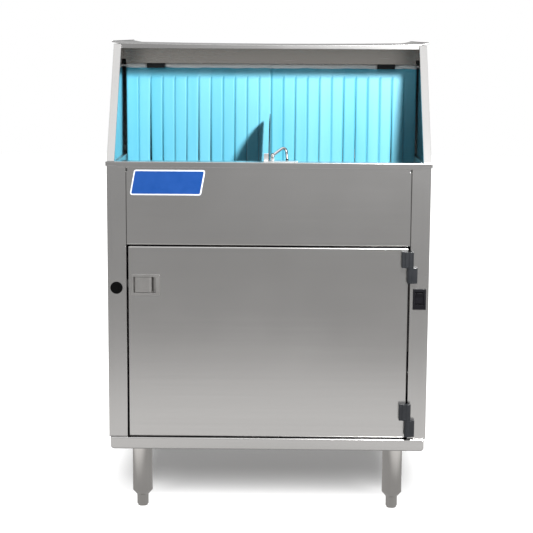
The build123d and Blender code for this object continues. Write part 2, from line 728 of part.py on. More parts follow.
def power_rocker():
    """Two-way rocker with a shallow V face, turning on a cross pin."""
    half_x, half_z = ROCKER_HALF
    face = [
        (FRONT - 1.6, ROCKER_Z - half_z),
        (FRONT + 0.4, ROCKER_Z + 1.5),
        (FRONT - 4.4, ROCKER_Z + half_z),
        (FRONT + 6.0, ROCKER_Z + half_z - 3.5),
        (FRONT + 9.0, ROCKER_Z),
        (FRONT + 6.0, ROCKER_Z - half_z + 3.5),
    ]
    rocker = side_slice(face, SWITCH_X - half_x, SWITCH_X + half_x)
    return rocker + rocker_pivot(9.6, ROCKER_PIN_RADIUS)


def dispenser_bracket():
    """Angle under the tank that carries the three dispenser heads."""
    plate = block(-245, -43, HEAD_PLATE_Y, HEAD_PLATE_Y + 2, 440, TANK_FLOOR)
    return plate + block(-245, -43, HEAD_PLATE_Y, HEAD_PLATE_Y + 40, TANK_FLOOR - 2, TANK_FLOOR)


def dispenser_head(x):
    """Round pump head, open in front over its roller space."""
    front = HEAD_PLATE_Y - HEAD_DEPTH
    head = rod((x, HEAD_PLATE_Y, HEAD_Z), (x, front, HEAD_Z), HEAD_RADIUS)
    head += block(x - 22, x + 22, front, HEAD_PLATE_Y, HEAD_Z - 38, HEAD_Z)
    head -= rod((x, HEAD_PLATE_Y - 6, HEAD_Z), (x, front - 1, HEAD_Z), 22.0)
    for side in (-1, 1):
        port = x + side * 15
        head += rod((port, HEAD_PLATE_Y - 15, HEAD_Z - 38), (port, HEAD_PLATE_Y - 15, HEAD_Z - 50), 4)
    return head


def dispenser_heads():
    return Compound(children=[dispenser_head(x) for x in HEAD_XS])


def dispenser_rotor(x):
    """Three-armed rotor with a roller at each tip."""
    deep, front = HEAD_PLATE_Y - 6.4, HEAD_PLATE_Y - HEAD_DEPTH + 2
    rotor = rod((x, deep, HEAD_Z), (x, front, HEAD_Z), 7.0)
    for arm in range(3):
        angle = math.radians(90 + arm * 120)
        tip_x, tip_z = x + 14 * math.cos(angle), HEAD_Z + 14 * math.sin(angle)
        spoke = Pos(7, 0, 0) * Box(14, deep - front, 6)
        middle = Pos(x, (deep + front) / 2, HEAD_Z)
        rotor += middle * Rot(0, -math.degrees(angle), 0) * spoke
        rotor += rod((tip_x, deep, tip_z), (tip_x, front, tip_z), 6.0)
    return rotor


def cable_gland():
    """Cord grip in the back panel: hexagon outside, nut inside, bore through."""
    x, z = 180.0, 250.0
    hexagon = extrude(Plane.XZ.offset(-BACK) * Pos(x, z) * RegularPolygon(13.0, 6), amount=-7)
    grip = hexagon + rod((x, BACK - 14, z), (x, BACK + 15, z), 9.0)
    grip += rod((x, BACK - 3, z), (x, BACK - 8, z), 13.0)
    return grip - rod((x, BACK - 20, z), (x, BACK + 20, z), 5.0)


# ---- curtain -------------------------------------------------------------------

def curtain_rod():
    return rod((-INNER + 0.05, CURTAIN_Y, ROD_Z), (INNER - 0.05, CURTAIN_Y, ROD_Z), ROD_RADIUS)


def curtain_clip(centre):
    """Black block that hooks the rod to the header."""
    x0, x1 = centre - CLIP_WIDTH / 2, centre + CLIP_WIDTH / 2
    back = HEADER_FRONT + SHEET
    clip = block(x0, x1, back, CURTAIN_Y + 6.5, HEADER_BOTTOM - 10, HEADER_BOTTOM + 4)
    clip += block(x0, x1, back - 3.2, back, HEADER_BOTTOM - 10, HEADER_BOTTOM - 0.1)
    return clip - rod((x0 - 1, CURTAIN_Y, ROD_Z), (x1 + 1, CURTAIN_Y, ROD_Z), ROD_RADIUS)


def curtain_clips():
    return Compound(children=[curtain_clip(-CLIP_CENTRE), curtain_clip(CLIP_CENTRE)])


def curtain_half(x0, x1, clip_centre):
    """One half of the strip curtain as a plain sheet under a hem that turns on the rod."""
    thick = 2.0
    hem = rod((x0, CURTAIN_Y, ROD_Z), (x1, CURTAIN_Y, ROD_Z), ROD_RADIUS + 2.0)
    sheet = block(x0, x1, CURTAIN_Y - thick / 2, CURTAIN_Y + thick / 2, CURTAIN_BOTTOM, ROD_Z)
    half = hem + sheet
    half -= rod((x0 - 1, CURTAIN_Y, ROD_Z), (x1 + 1, CURTAIN_Y, ROD_Z), ROD_RADIUS + 0.4)
    notch = CLIP_WIDTH / 2 + 2
    half -= block(
        clip_centre - notch, clip_centre + notch, CURTAIN_Y - 9, CURTAIN_Y + 9, ROD_Z - 12.5, ROD_Z + 9
    )
    return half


# ---- stop arm and divider --------------------------------------------------------

def stop_arm_bracket():
    """Plate on the ledge with one lug for the divider and one for the arm's pivot pin."""
    plate = block(-11, 58, FRONT + 2, LEDGE_BACK, LEDGE_TOP, LEDGE_TOP + SHEET)
    lug_front = BRACKET_BACK - SHEET
    plate += block(-10.5, -1.0, lug_front, BRACKET_BACK, LEDGE_TOP, 743)
    x, z = ARM_PIVOT
    plate += block(x - 4, x + 3, lug_front, BRACKET_BACK, LEDGE_TOP, z + 2.4)
    pin = rod((x, lug_front, z), (x, lug_front - 12.5, z), 2.0)
    washer = rod((x, lug_front - 11.5, z), (x, lug_front - 13, z), 3.4)
    return plate + pin + washer


def stop_arm_hub():
    """Black bush that turns on the pivot pin."""
    x, z = ARM_PIVOT
    front, back = BRACKET_BACK - SHEET - 10.8, BRACKET_BACK - SHEET - 0.6
    return rod((x, front, z), (x, back, z), 4.4) - rod((x, front - 1, z), (x, back + 1, z), 2.05)


def stop_arm():
    """Bent wire: out of the hub, up to the right, then down behind the ledge."""
    x, z = ARM_PIVOT
    start = (x, BRACKET_BACK - SHEET - 5.7, z)
    path = [start, (34.1, -262.0, 758.5), (39.3, -256.0, 702.0)]
    wire = pipe(path, 9.0, 2.75, 0)
    y0, y1 = BRACKET_BACK - 20, BRACKET_BACK + 4
    return wire - rod((x, y0, z), (x, y1, z), 4.4)


def divider_fin():
    """Upright fin between the loading and unloading sides, tabbed to the bracket's lug."""
    front, rear = BRACKET_BACK + 0.02, -12.0
    low = 696.0
    edges = [
        Line((front, LEDGE_TOP + 1.7), (front, 744)),
        ThreePointArc((front, 744), (-190, 789), (rear, 807)),
        Polyline((rear, 807), (rear - 14, low), (LEDGE_BACK + 3, low), (LEDGE_BACK + 3, LEDGE_TOP + 1.7)),
        Line((LEDGE_BACK + 3, LEDGE_TOP + 1.7), (front, LEDGE_TOP + 1.7)),
    ]
    half = FIN_THICKNESS / 2
    fin = extrude(Plane.YZ.offset(-half) * make_face(edges), amount=FIN_THICKNESS)
    return fin + block(-10.5, -half, front, front + 2, LEDGE_TOP + 1.7, LEDGE_TOP + 7)


# ---- door ------------------------------------------------------------------------

def door_panel():
    """Folded door: face and four returns, a pocket hole and a slot for the latch tongue."""
    door = block(-DOOR_HALF, DOOR_HALF, FRONT, FRONT + DOOR_RETURN, DOOR_BOTTOM, DOOR_TOP)
    door -= block(
        -DOOR_HALF + SHEET,
        DOOR_HALF - SHEET,
        FRONT + SHEET,
        FRONT + DOOR_RETURN + 5,
        DOOR_BOTTOM + SHEET,
        DOOR_TOP - SHEET,
    )
    wall = 1.0
    door -= block(
        POCKET_LEFT - wall,
        POCKET_RIGHT + wall,
        FRONT - 2,
        FRONT + 5,
        POCKET_BOTTOM - wall,
        POCKET_TOP + wall,
    )
    door = soften(door, DOOR_TOP_RADIUS, lambda p: near(p.Y, FRONT) and near(p.Z, DOOR_TOP))
    door = soften(
        door,
        BEND_RADIUS,
        lambda p: near(p.Y, FRONT) and (near(abs(p.X), DOOR_HALF) or near(p.Z, DOOR_BOTTOM)),
    )
    tongue_y0, tongue_y1 = latch_tongue_depths()
    slot_z = LATCH[1]
    return door - block(
        -DOOR_HALF - 2, -DOOR_HALF + 4, tongue_y0 - 0.6, tongue_y1 + 0.6, slot_z - 8.6, slot_z + 8.6
    )


def hinge_body(z0, z1, pad_x0, pad_x1, base_y):
    """A screwed pad and the knuckle that stands in front of it, at one height."""
    knuckle_y = FRONT - HINGE_REACH + KNUCKLE_RADIUS
    knuckle = upright_rod((HINGE_X, knuckle_y), z0, z1, KNUCKLE_RADIUS)
    pad = block(pad_x0, pad_x1, knuckle_y - 3, base_y, z0, z1)
    pad = fillet(pad.edges().filter_by(Axis.Z).sort_by(Axis.Y)[:2], 2.4)
    neck_x0, neck_x1 = min(HINGE_X, (pad_x0 + pad_x1) / 2), max(HINGE_X, (pad_x0 + pad_x1) / 2)
    neck = block(neck_x0, neck_x1, knuckle_y - KNUCKLE_RADIUS + 1.5, knuckle_y + 3, z0, z1)
    return knuckle + pad + neck


def hinge_frame_leaves():
    """Lower half of each lift-off hinge, on the stile, holding the pin."""
    leaves = []
    for low, middle, _ in HINGE_STEPS:
        leaf = hinge_body(low, middle, STILE_EDGE + 0.6, 299.8, FRONT)
        place = (HINGE_X, FRONT - HINGE_REACH + KNUCKLE_RADIUS)
        leaves.append(leaf - upright_rod(place, low + 4, middle + 1, HINGE_PIN_RADIUS))
    return Compound(children=leaves)


def hinge_door_leaves():
    """Upper half of each lift-off hinge, on the door, with a blind running hole."""
    leaves = []
    for _, middle, top in HINGE_STEPS:
        leaf = hinge_body(middle + 0.5, top, 268.0, DOOR_HALF - 0.6, FRONT)
        place = (HINGE_X, FRONT - HINGE_REACH + KNUCKLE_RADIUS)
        bore = upright_rod(place, middle - 1, top - 4, HINGE_PIN_RADIUS + RUNNING_GAP)
        leaves.append(leaf - bore)
    return Compound(children=leaves)


def hinge_pins():
    place = (HINGE_X, FRONT - HINGE_REACH + KNUCKLE_RADIUS)
    pins = [upright_rod(place, low + 4, top - 6, HINGE_PIN_RADIUS) for low, _, top in HINGE_STEPS]
    return Compound(children=pins)


def latch_tongue_depths():
    near = FRONT + POCKET_DEPTH + 2.0
    return near, near + 6.0


def latch_cup():
    """Flush pocket with its rim on the door face and two guide rails for the tongue behind."""
    x, z = LATCH
    half_x, half_z = LATCH_SIZE[0] / 2, LATCH_SIZE[1] / 2
    rim = block(x - half_x, x + half_x, FRONT - SHEET, FRONT, z - half_z, z + half_z)
    rim = fillet(rim.edges().filter_by(Axis.Y), 2.0)
    wall = 0.9
    shell = block(
        POCKET_LEFT - wall,
        POCKET_RIGHT + wall,
        FRONT,
        FRONT + POCKET_DEPTH + wall,
        POCKET_BOTTOM - wall,
        POCKET_TOP + wall,
    )
    cup = rim + shell - block(
        POCKET_LEFT, POCKET_RIGHT, FRONT - 3, FRONT + POCKET_DEPTH, POCKET_BOTTOM, POCKET_TOP
    )
    near, far = FRONT + POCKET_DEPTH + wall, latch_tongue_depths()[1] + 1
    for side in (-1, 1):
        rail = sorted((z + side * 8.6, z + side * 12.0))
        cup += block(POCKET_LEFT, -244, near, far, *rail)
    return cup


def latch_paddle():
    """Pull plate on an upright pin at its left edge; its right edge curves back for the fingers."""
    axis_x, axis_y = PADDLE_AXIS
    flat_end = -241.4
    tip = -233.0
    face_y = FRONT + 0.6
    thick = 3.0
    outline = [
        Line((axis_x, face_y), (flat_end, face_y)),
        ThreePointArc((flat_end, face_y), (-235.8, face_y + 1.8), (tip, face_y + 6)),
        Polyline((tip, face_y + 6), (tip - 2.4, face_y + 7), (flat_end, face_y + thick),
                 (axis_x, face_y + thick), (axis_x, face_y)),
    ]
    low, high = POCKET_BOTTOM + 0.8, POCKET_TOP - 0.8
    plate = extrude(Pos(0, 0, low) * make_face(outline), amount=high - low)
    return plate + upright_rod((axis_x, axis_y), low, high, 2.8)


def latch_bolt():
    """Sliding tongue behind the pocket; its nose is bevelled."""
    near, far = latch_tongue_depths()
    z = LATCH[1]
    tongue = block(-285.0, -248.0, near, far, z - 8, z + 8)
    wedge = extrude(
        Pos(0, 0, z - 9)
        * make_face(Polyline((-286, far + 1), (-286, near + 1.5), (-279, far + 1), close=True)),
        amount=18,
    )
    return tongue - wedge


# ---- write every piece -------------------------------------------------------------

def all_nodes():
    nodes = {
        "left_side_panel": left_side_panel(),
        "right_side_panel": right_side_panel(),
        "back_panel": back_panel(),
        "front_apron": front_apron(),
        "counter_ledge": counter_ledge(),
        "hood_top": hood_top(),
        "hood_header": hood_header(),
        "base_pan": base_pan(),
        "badge_plate": badge_plate(),
        "hole_plug": hole_plug(),
        "back_screws": back_screws(),
        "leg_tubes": leg_tubes(),
        "wash_tank": wash_tank(),
        "scrap_screen": scrap_screen(),
        "tank_heater": tank_heater(),
        "overflow_standpipe": overflow_standpipe(),
        "drain_pipe": drain_pipe(),
        "carousel_rack": carousel_rack(),
        "drive_shaft": drive_shaft(),
        "shaft_bearings": shaft_bearings(),
        "gearmotor": gearmotor(),
        "wash_arms": wash_arms(),
        "rinse_arms": rinse_arms(),
        "wash_riser": wash_riser(),
        "rinse_riser": rinse_riser(),
        "rinse_valve": rinse_valve(),
        "suction_pipe": suction_pipe(),
        "discharge_pipe": discharge_pipe(),
        "pump_motor": pump_motor(),
        "pump_bracket": pump_bracket(),
        "pump_housing": pump_housing(),
        "pump_impeller": pump_impeller(),
        "control_box": control_box(),
        "switch_bezel": switch_bezel(),
        "power_rocker": power_rocker(),
        "dispenser_bracket": dispenser_bracket(),
        "dispenser_heads": dispenser_heads(),
        "cable_gland": cable_gland(),
        "curtain_rod": curtain_rod(),
        "curtain_clips": curtain_clips(),
        "curtain_left": curtain_half(-315.5, -2.6, -CLIP_CENTRE),
        "curtain_right": curtain_half(2.6, 317.7, CLIP_CENTRE),
        "stop_arm_bracket": stop_arm_bracket(),
        "stop_arm_hub": stop_arm_hub(),
        "stop_arm": stop_arm(),
        "divider_fin": divider_fin(),
        "door_panel": door_panel(),
        "hinge_frame_leaves": hinge_frame_leaves(),
        "hinge_door_leaves": hinge_door_leaves(),
        "hinge_pins": hinge_pins(),
        "latch_cup": latch_cup(),
        "latch_paddle": latch_paddle(),
        "latch_bolt": latch_bolt(),
    }
    for number, x in enumerate(HEAD_XS, start=1):
        nodes[f"dispenser_rotor_{number}"] = dispenser_rotor(x)
    for x, side in ((-LEG_X, "left"), (LEG_X, "right")):
        for y, end in ((-LEG_Y, "front"), (LEG_Y, "rear")):
            nodes[f"foot_{end}_{side}"] = adjustable_foot(x, y)
    return nodes


os.makedirs("parts", exist_ok=True)
for name, shape in all_nodes().items():
    export_step(shape, f"parts/{name}.step")
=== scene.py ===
import math
import random

import bmesh
import bpy
from mathutils import Matrix, Vector


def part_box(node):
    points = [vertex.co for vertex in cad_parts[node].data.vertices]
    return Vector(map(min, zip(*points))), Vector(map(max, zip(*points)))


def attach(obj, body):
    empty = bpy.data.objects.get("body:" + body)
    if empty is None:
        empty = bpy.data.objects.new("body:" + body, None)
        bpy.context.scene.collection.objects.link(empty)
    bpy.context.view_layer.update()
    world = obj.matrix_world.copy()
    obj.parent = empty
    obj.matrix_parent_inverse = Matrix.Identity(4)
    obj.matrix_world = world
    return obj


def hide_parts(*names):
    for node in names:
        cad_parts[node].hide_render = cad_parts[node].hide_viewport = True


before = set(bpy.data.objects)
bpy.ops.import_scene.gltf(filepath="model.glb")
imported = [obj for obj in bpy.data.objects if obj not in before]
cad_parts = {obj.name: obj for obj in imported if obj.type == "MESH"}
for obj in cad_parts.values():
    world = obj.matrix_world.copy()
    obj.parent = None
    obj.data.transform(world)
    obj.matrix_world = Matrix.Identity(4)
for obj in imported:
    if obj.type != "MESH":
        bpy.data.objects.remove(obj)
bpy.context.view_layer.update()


# ---- Cabinet front and roof ---------------------------------------------------------
# Door, apron, counter ledge, header, roof and base pan: 1.5 mm stainless sheet, cut,
# folded and spot-welded, with the mill's brushed grain left running across the machine.

def add(tree, kind, settings=None, inputs=None):
    """A node in the tree. Inputs are values, or sockets to link."""
    made = tree.nodes.new(kind)
    for name, value in (settings or {}).items():
        setattr(made, name, value)
    for name, value in (inputs or {}).items():
        if isinstance(value, bpy.types.NodeSocket):
            tree.links.new(value, made.inputs[name])
        else:
            made.inputs[name].default_value = value
    return made


def maths(tree, operation, first, second=0.0, third=0.0):
    """One sum on values or sockets."""
    made = add(tree, "ShaderNodeMath", {"operation": operation}, {0: first, 1: second, 2: third})
    return made.outputs[0]


def spread(tree, value, low, high, new_low, new_high, smooth=False):
    """Maps a range of a socket to another range, held at its ends."""
    kind = "SMOOTHSTEP" if smooth else "LINEAR"
    made = add(
        tree,
        "ShaderNodeMapRange",
        {"interpolation_type": kind},
        {0: value, 1: low, 2: high, 3: new_low, 4: new_high},
    )
    return made.outputs[0]


def noise(tree, place, scale, detail=2.0, rough=0.5):
    """Smooth noise from 0 to 1 at a place."""
    made = add(
        tree,
        "ShaderNodeTexNoise",
        None,
        {"Vector": place, "Scale": scale, "Detail": detail, "Roughness": rough},
    )
    return made.outputs["Fac"]


def new_group(name, inputs, outputs):
    """An empty shader node group with named sockets: (tree, its input node, its output node)."""
    tree = bpy.data.node_groups.new(name, "ShaderNodeTree")
    for label, kind, value in inputs:
        made = tree.interface.new_socket(label, in_out="INPUT", socket_type="NodeSocket" + kind)
        if value is not None:
            made.default_value = value
    for label, kind in outputs:
        tree.interface.new_socket(label, in_out="OUTPUT", socket_type="NodeSocket" + kind)
    return tree, add(tree, "NodeGroupInput"), add(tree, "NodeGroupOutput")


def put_out(tree, group_out, values):
    """Links sockets to a group's outputs by name."""
    for label, socket in values.items():
        tree.links.new(socket, group_out.inputs[label])


def make_grain_group():
    """Brushed grain: long fine lines along one direction, plus wider soft streaks."""
    tree, inside, out = new_group(
        "brushed_grain",
        [("Stretch", "Vector", (4.0, 700.0, 700.0)), ("Seed", "Vector", (0.0, 0.0, 0.0))],
        [("Lines", "Float"), ("Streaks", "Float")],
    )
    place = add(tree, "ShaderNodeTexCoord").outputs["Object"]
    moved = add(tree, "ShaderNodeVectorMath", {"operation": "ADD"}, {0: place, 1: inside.outputs["Seed"]})
    fine = add(
        tree,
        "ShaderNodeVectorMath",
        {"operation": "MULTIPLY"},
        {0: moved.outputs[0], 1: inside.outputs["Stretch"]},
    )
    wide = add(tree, "ShaderNodeVectorMath", {"operation": "SCALE"}, {0: fine.outputs[0], "Scale": 0.13})
    lines = noise(tree, fine.outputs[0], 1.0, 3.0, 0.6)
    streaks = noise(tree, wide.outputs[0], 1.0, 2.0)
    put_out(tree, out, {"Lines": lines, "Streaks": streaks})
    return tree


def make_marks_and_highlight_group():
    """Handling marks: soft cloudy smears and small bright specks, and a mask of rounded edges that the
    finishes lighten as a painted highlight.
    """
    tree, inside, out = new_group(
        "handling_marks_and_edge_highlight",
        [
            ("Cloud Scale", "Float", 5.0),
            ("Speck Scale", "Float", 12.0),
            ("Speck Size", "Float", 0.014),
            ("Edge Width", "Float", 0.0016),
        ],
        [("Clouds", "Float"), ("Specks", "Float"), ("Edges", "Float"), ("Round Normal", "Vector")],
    )
    place = add(tree, "ShaderNodeTexCoord").outputs["Object"]
    clouds = noise(tree, place, inside.outputs["Cloud Scale"], 4.0, 0.55)
    cells = add(
        tree,
        "ShaderNodeTexVoronoi",
        None,
        {"Vector": place, "Scale": inside.outputs["Speck Scale"], "Randomness": 1.0},
    )
    near = maths(tree, "LESS_THAN", cells.outputs["Distance"], inside.outputs["Speck Size"])
    shade = add(tree, "ShaderNodeSeparateColor", None, {0: cells.outputs["Color"]}).outputs[0]
    chosen = maths(tree, "GREATER_THAN", shade, 0.45)
    specks = maths(tree, "MULTIPLY", near, chosen)
    rounded = add(tree, "ShaderNodeBevel", {"samples": 6}, {"Radius": inside.outputs["Edge Width"]})
    flat = add(tree, "ShaderNodeNewGeometry").outputs["Normal"]
    facing = add(
        tree, "ShaderNodeVectorMath", {"operation": "DOT_PRODUCT"}, {0: rounded.outputs[0], 1: flat}
    )
    # Painted highlight mask: 1 where the bevelled normal turns away from the flat one.
    edge_highlight = spread(tree, facing.outputs["Value"], 0.995, 0.85, 0.0, 1.0)
    put_out(
        tree,
        out,
        {"Clouds": clouds, "Specks": specks, "Edges": edge_highlight, "Round Normal": rounded.outputs[0]},
    )
    return tree


grain_group = make_grain_group()
marks_and_highlight_group = make_marks_and_highlight_group()


def placed_group(tree, group, values):
    """A group's node, with its named inputs set."""
    made = add(tree, "ShaderNodeGroup", {"node_tree": group})
    for label, value in values.items():
        made.inputs[label].default_value = value
    return made


def new_material(name, fixed):
    """A material with one Principled shader, and constants on the shader's own sockets."""
    material = bpy.data.materials.new(name)
    material.use_nodes = True
    shader = material.node_tree.nodes["Principled BSDF"]
    for label, value in fixed.items():
        shader.inputs[label].default_value = value
    return material, material.node_tree, shader


def tinted(tree, factor, low, high):
    """A colour between two, by a factor from 0 to 1."""
    made = add(
        tree,
        "ShaderNodeMix",
        {"data_type": "RGBA"},
        {0: factor, 6: (*low, 1.0), 7: (*high, 1.0)},
    )
    return made.outputs[2]


GRAIN_ACROSS = (5.0, 900.0, 900.0)
GRAIN_UPRIGHT = (900.0, 900.0, 5.0)
STEEL_DARK = (0.50, 0.495, 0.492)
STEEL_PALE = (0.585, 0.577, 0.570)


def stainless(name, grain, rough, dark=STEEL_DARK, pale=STEEL_PALE, lines=0.06, seed=(0.0, 0.0, 0.0)):
    """Brushed stainless sheet: grain in the height, smears in the roughness, a painted highlight along the
    edges.
    """
    material, tree, shader = new_material(name, {"Metallic": 1.0, "Specular IOR Level": 0.5})
    brushed = placed_group(tree, grain_group, {"Stretch": grain, "Seed": seed})
    marks_and_highlight = placed_group(tree, marks_and_highlight_group, {})
    streaked = maths(tree, "MULTIPLY_ADD", brushed.outputs["Streaks"], 0.3, 0.15)
    mixed = maths(tree, "MULTIPLY_ADD", marks_and_highlight.outputs["Clouds"], 0.5, streaked)
    # Painted highlight: the colour is lightened along rounded edges.
    lit_edge = maths(tree, "MULTIPLY_ADD", marks_and_highlight.outputs["Edges"], 0.25, mixed)
    speckled = maths(tree, "ADD", lit_edge, marks_and_highlight.outputs["Specks"])
    colour = tinted(tree, speckled, dark, pale)
    base = spread(tree, brushed.outputs["Lines"], 0.25, 0.75, rough - 0.015, rough + 0.015)
    cloudy = spread(tree, marks_and_highlight.outputs["Clouds"], 0.3, 0.7, -0.012, 0.018)
    roughness = maths(tree, "ADD", base, cloudy)
    bump = add(
        tree,
        "ShaderNodeBump",
        None,
        {
            "Strength": lines,
            "Distance": 0.0004,
            "Height": brushed.outputs["Lines"],
            "Normal": marks_and_highlight.outputs["Round Normal"],
        },
    )
    tree.links.new(colour, shader.inputs["Base Color"])
    tree.links.new(roughness, shader.inputs["Roughness"])
    tree.links.new(bump.outputs[0], shader.inputs["Normal"])
    return material


def paint(names, material):
    """Gives CAD nodes a finish."""
    for name in names:
        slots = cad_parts[name].data.materials
        slots.clear()
        slots.append(material)


steel_across = stainless("stainless_grain_across", GRAIN_ACROSS, 0.22)
paint(["front_apron", "door_panel", "counter_ledge", "hood_top", "base_pan"], steel_across)
# Painted shade: the header sits back under the roof, so its steel is a darker, warmer copy of the front
# sheet.
shaded_header_steel = stainless(
    "stainless_header_shaded", GRAIN_ACROSS, 0.26, (0.44, 0.42, 0.395), (0.54, 0.515, 0.48), seed=(0.3, 0.1, 0.7)
)
paint(["hood_header"], shaded_header_steel)


# ---- Side walls and back ------------------------------------------------------------
# Two side sheets folded round into the front stiles and the sloping hood uprights, and a
# flat back sheet screwed between them. Outside brushed upright, inside left bright.

def bright_inside(name, inner_half_width):
    """Upright-brushed sheet whose inward faces keep the bright rolled finish."""
    material = stainless(name, GRAIN_UPRIGHT, 0.24, seed=(0.5, 0.2, 0.1))
    tree = material.node_tree
    shader = tree.nodes["Principled BSDF"]
    brushed_rough = shader.inputs["Roughness"].links[0].from_socket
    place = add(tree, "ShaderNodeTexCoord").outputs["Object"]
    way = add(tree, "ShaderNodeTexCoord").outputs["Normal"]
    place_x = add(tree, "ShaderNodeSeparateXYZ", None, {0: place}).outputs["X"]
    way_x = add(tree, "ShaderNodeSeparateXYZ", None, {0: way}).outputs["X"]
    inward = maths(tree, "LESS_THAN", maths(tree, "MULTIPLY", place_x, way_x), -0.25 * inner_half_width)
    bright = maths(tree, "MULTIPLY", maths(tree, "SUBTRACT", 1.0, inward), brushed_rough)
    mixed = maths(tree, "MULTIPLY_ADD", inward, 0.09, bright)
    tree.links.new(mixed, shader.inputs["Roughness"])
    return material


paint(["left_side_panel", "right_side_panel"], bright_inside("stainless_side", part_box("wash_tank")[1].x))
paint(["back_panel"], stainless("stainless_back", GRAIN_UPRIGHT, 0.28, seed=(0.9, 0.4, 0.2)))


# ---- Back panel screws --------------------------------------------------------------
# Pan-head machine screws with a cross recess, ten of them, turned home by a driver so that
# each cross stands at its own angle. Zinc-bright stainless.

def geometry_tree(name, inputs):
    """A Geometry Nodes tree with named inputs: (tree, its input node, its output node)."""
    tree = bpy.data.node_groups.new(name, "GeometryNodeTree")
    tree.interface.new_socket("Geometry", in_out="INPUT", socket_type="NodeSocketGeometry")
    tree.interface.new_socket("Geometry", in_out="OUTPUT", socket_type="NodeSocketGeometry")
    for label, kind, value in inputs:
        made = tree.interface.new_socket(label, in_out="INPUT", socket_type="NodeSocket" + kind)
        if value is not None:
            made.default_value = value
    return tree, add(tree, "NodeGroupInput"), add(tree, "NodeGroupOutput")


def finish_tree(tree, out, geometry, material):
    """Ends a tree in Realize Instances and Set Material."""
    real = add(tree, "GeometryNodeRealizeInstances", None, {"Geometry": geometry})
    painted = add(tree, "GeometryNodeSetMaterial", None, {"Geometry": real.outputs[0]})
    painted.inputs["Material"].default_value = material
    tree.links.new(painted.outputs[0], out.inputs["Geometry"])


def new_object(name, mesh):
    """An object at the origin that holds a mesh."""
    made = bpy.data.objects.new(name, mesh)
    bpy.context.scene.collection.objects.link(made)
    return made


def grow(name, points, tree, settings, attributes=None):
    """Runs a tree on a set of points, and returns the result as a plain mesh object."""
    seed_mesh = bpy.data.meshes.new(name + "_points")
    seed_mesh.from_pydata([tuple(p) for p in points], [], [])
    for label, values in (attributes or {}).items():
        made = seed_mesh.attributes.new(label, "FLOAT", "POINT")
        made.data.foreach_set("value", values)
    seed = new_object(name + "_points", seed_mesh)
    modifier = seed.modifiers.new("grow", "NODES")
    modifier.node_group = tree
    for item in tree.interface.items_tree:
        if item.in_out == "INPUT" and item.name in settings:
            modifier[item.identifier] = settings[item.name]
    evaluated = seed.evaluated_get(bpy.context.evaluated_depsgraph_get())
    mesh = bpy.data.meshes.new_from_object(evaluated)
    mesh.name = name
    bpy.data.objects.remove(seed)
    return new_object(name, mesh)


def outward(piece):
    """Merges doubles and turns the faces outwards."""
    shape = bmesh.new()
    shape.from_mesh(piece.data)
    bmesh.ops.remove_doubles(shape, verts=shape.verts, dist=1e-6)
    bmesh.ops.recalc_face_normals(shape, faces=shape.faces)
    shape.to_mesh(piece.data)
    shape.free()


def smooth(piece, degrees=35.0):
    """Smooth shading, with edges sharper than an angle kept crisp."""
    piece.data.shade_smooth()
    piece.data.set_sharp_from_angle(angle=math.radians(degrees))


def make_screw_tree(material):
    """Pan heads with a cross recess, pointing along +Y, one on each point."""
    tree, inside, out = geometry_tree(
        "cross_head_screws",
        [
            ("Head Radius", "Float", 0.0042),
            ("Head Height", "Float", 0.0026),
            ("Cross Width", "Float", 0.0009),
            ("Seed", "Int", 3),
        ],
    )
    radius, height = inside.outputs["Head Radius"], inside.outputs["Head Height"]
    dome = add(tree, "GeometryNodeMeshUVSphere", None, {"Segments": 28, "Rings": 16, "Radius": radius})
    squat = add(tree, "ShaderNodeCombineXYZ", None, {0: 1.0, 1: 1.0})
    ratio = maths(tree, "DIVIDE", height, radius)
    tree.links.new(ratio, squat.inputs[2])
    pan = add(tree, "GeometryNodeTransform", None, {"Geometry": dome.outputs[0], "Scale": squat.outputs[0]})
    bars = []
    for turned in (0.0, math.pi / 2):
        size = add(tree, "ShaderNodeCombineXYZ", None, {1: inside.outputs["Cross Width"], 2: height})
        tree.links.new(maths(tree, "MULTIPLY", radius, 1.25), size.inputs[0])
        bar = add(tree, "GeometryNodeMeshCube", None, {"Size": size.outputs[0]})
        lift = add(tree, "ShaderNodeCombineXYZ", None, {2: height})
        moved = add(
            tree,
            "GeometryNodeTransform",
            None,
            {"Geometry": bar.outputs[0], "Translation": lift.outputs[0], "Rotation": (0.0, 0.0, turned)},
        )
        bars.append(moved.outputs[0])
    cut = add(tree, "GeometryNodeMeshBoolean", {"operation": "DIFFERENCE"}, {"Mesh 1": pan.outputs[0]})
    for bar in bars:
        tree.links.new(bar, cut.inputs["Mesh 2"])
    facing = add(
        tree,
        "GeometryNodeTransform",
        None,
        {"Geometry": cut.outputs[0], "Rotation": (-math.pi / 2, 0.0, 0.0)},
    )
    spin = add(
        tree,
        "FunctionNodeRandomValue",
        {"data_type": "FLOAT"},
        {2: 0.0, 3: math.pi / 2, "Seed": inside.outputs["Seed"]},
    )
    turn = add(tree, "ShaderNodeCombineXYZ", None, {1: spin.outputs[1]})
    placed = add(
        tree,
        "GeometryNodeInstanceOnPoints",
        None,
        {"Points": inside.outputs["Geometry"], "Instance": facing.outputs[0], "Rotation": turn.outputs[0]},
    )
    finish_tree(tree, out, placed.outputs[0], material)
    return tree


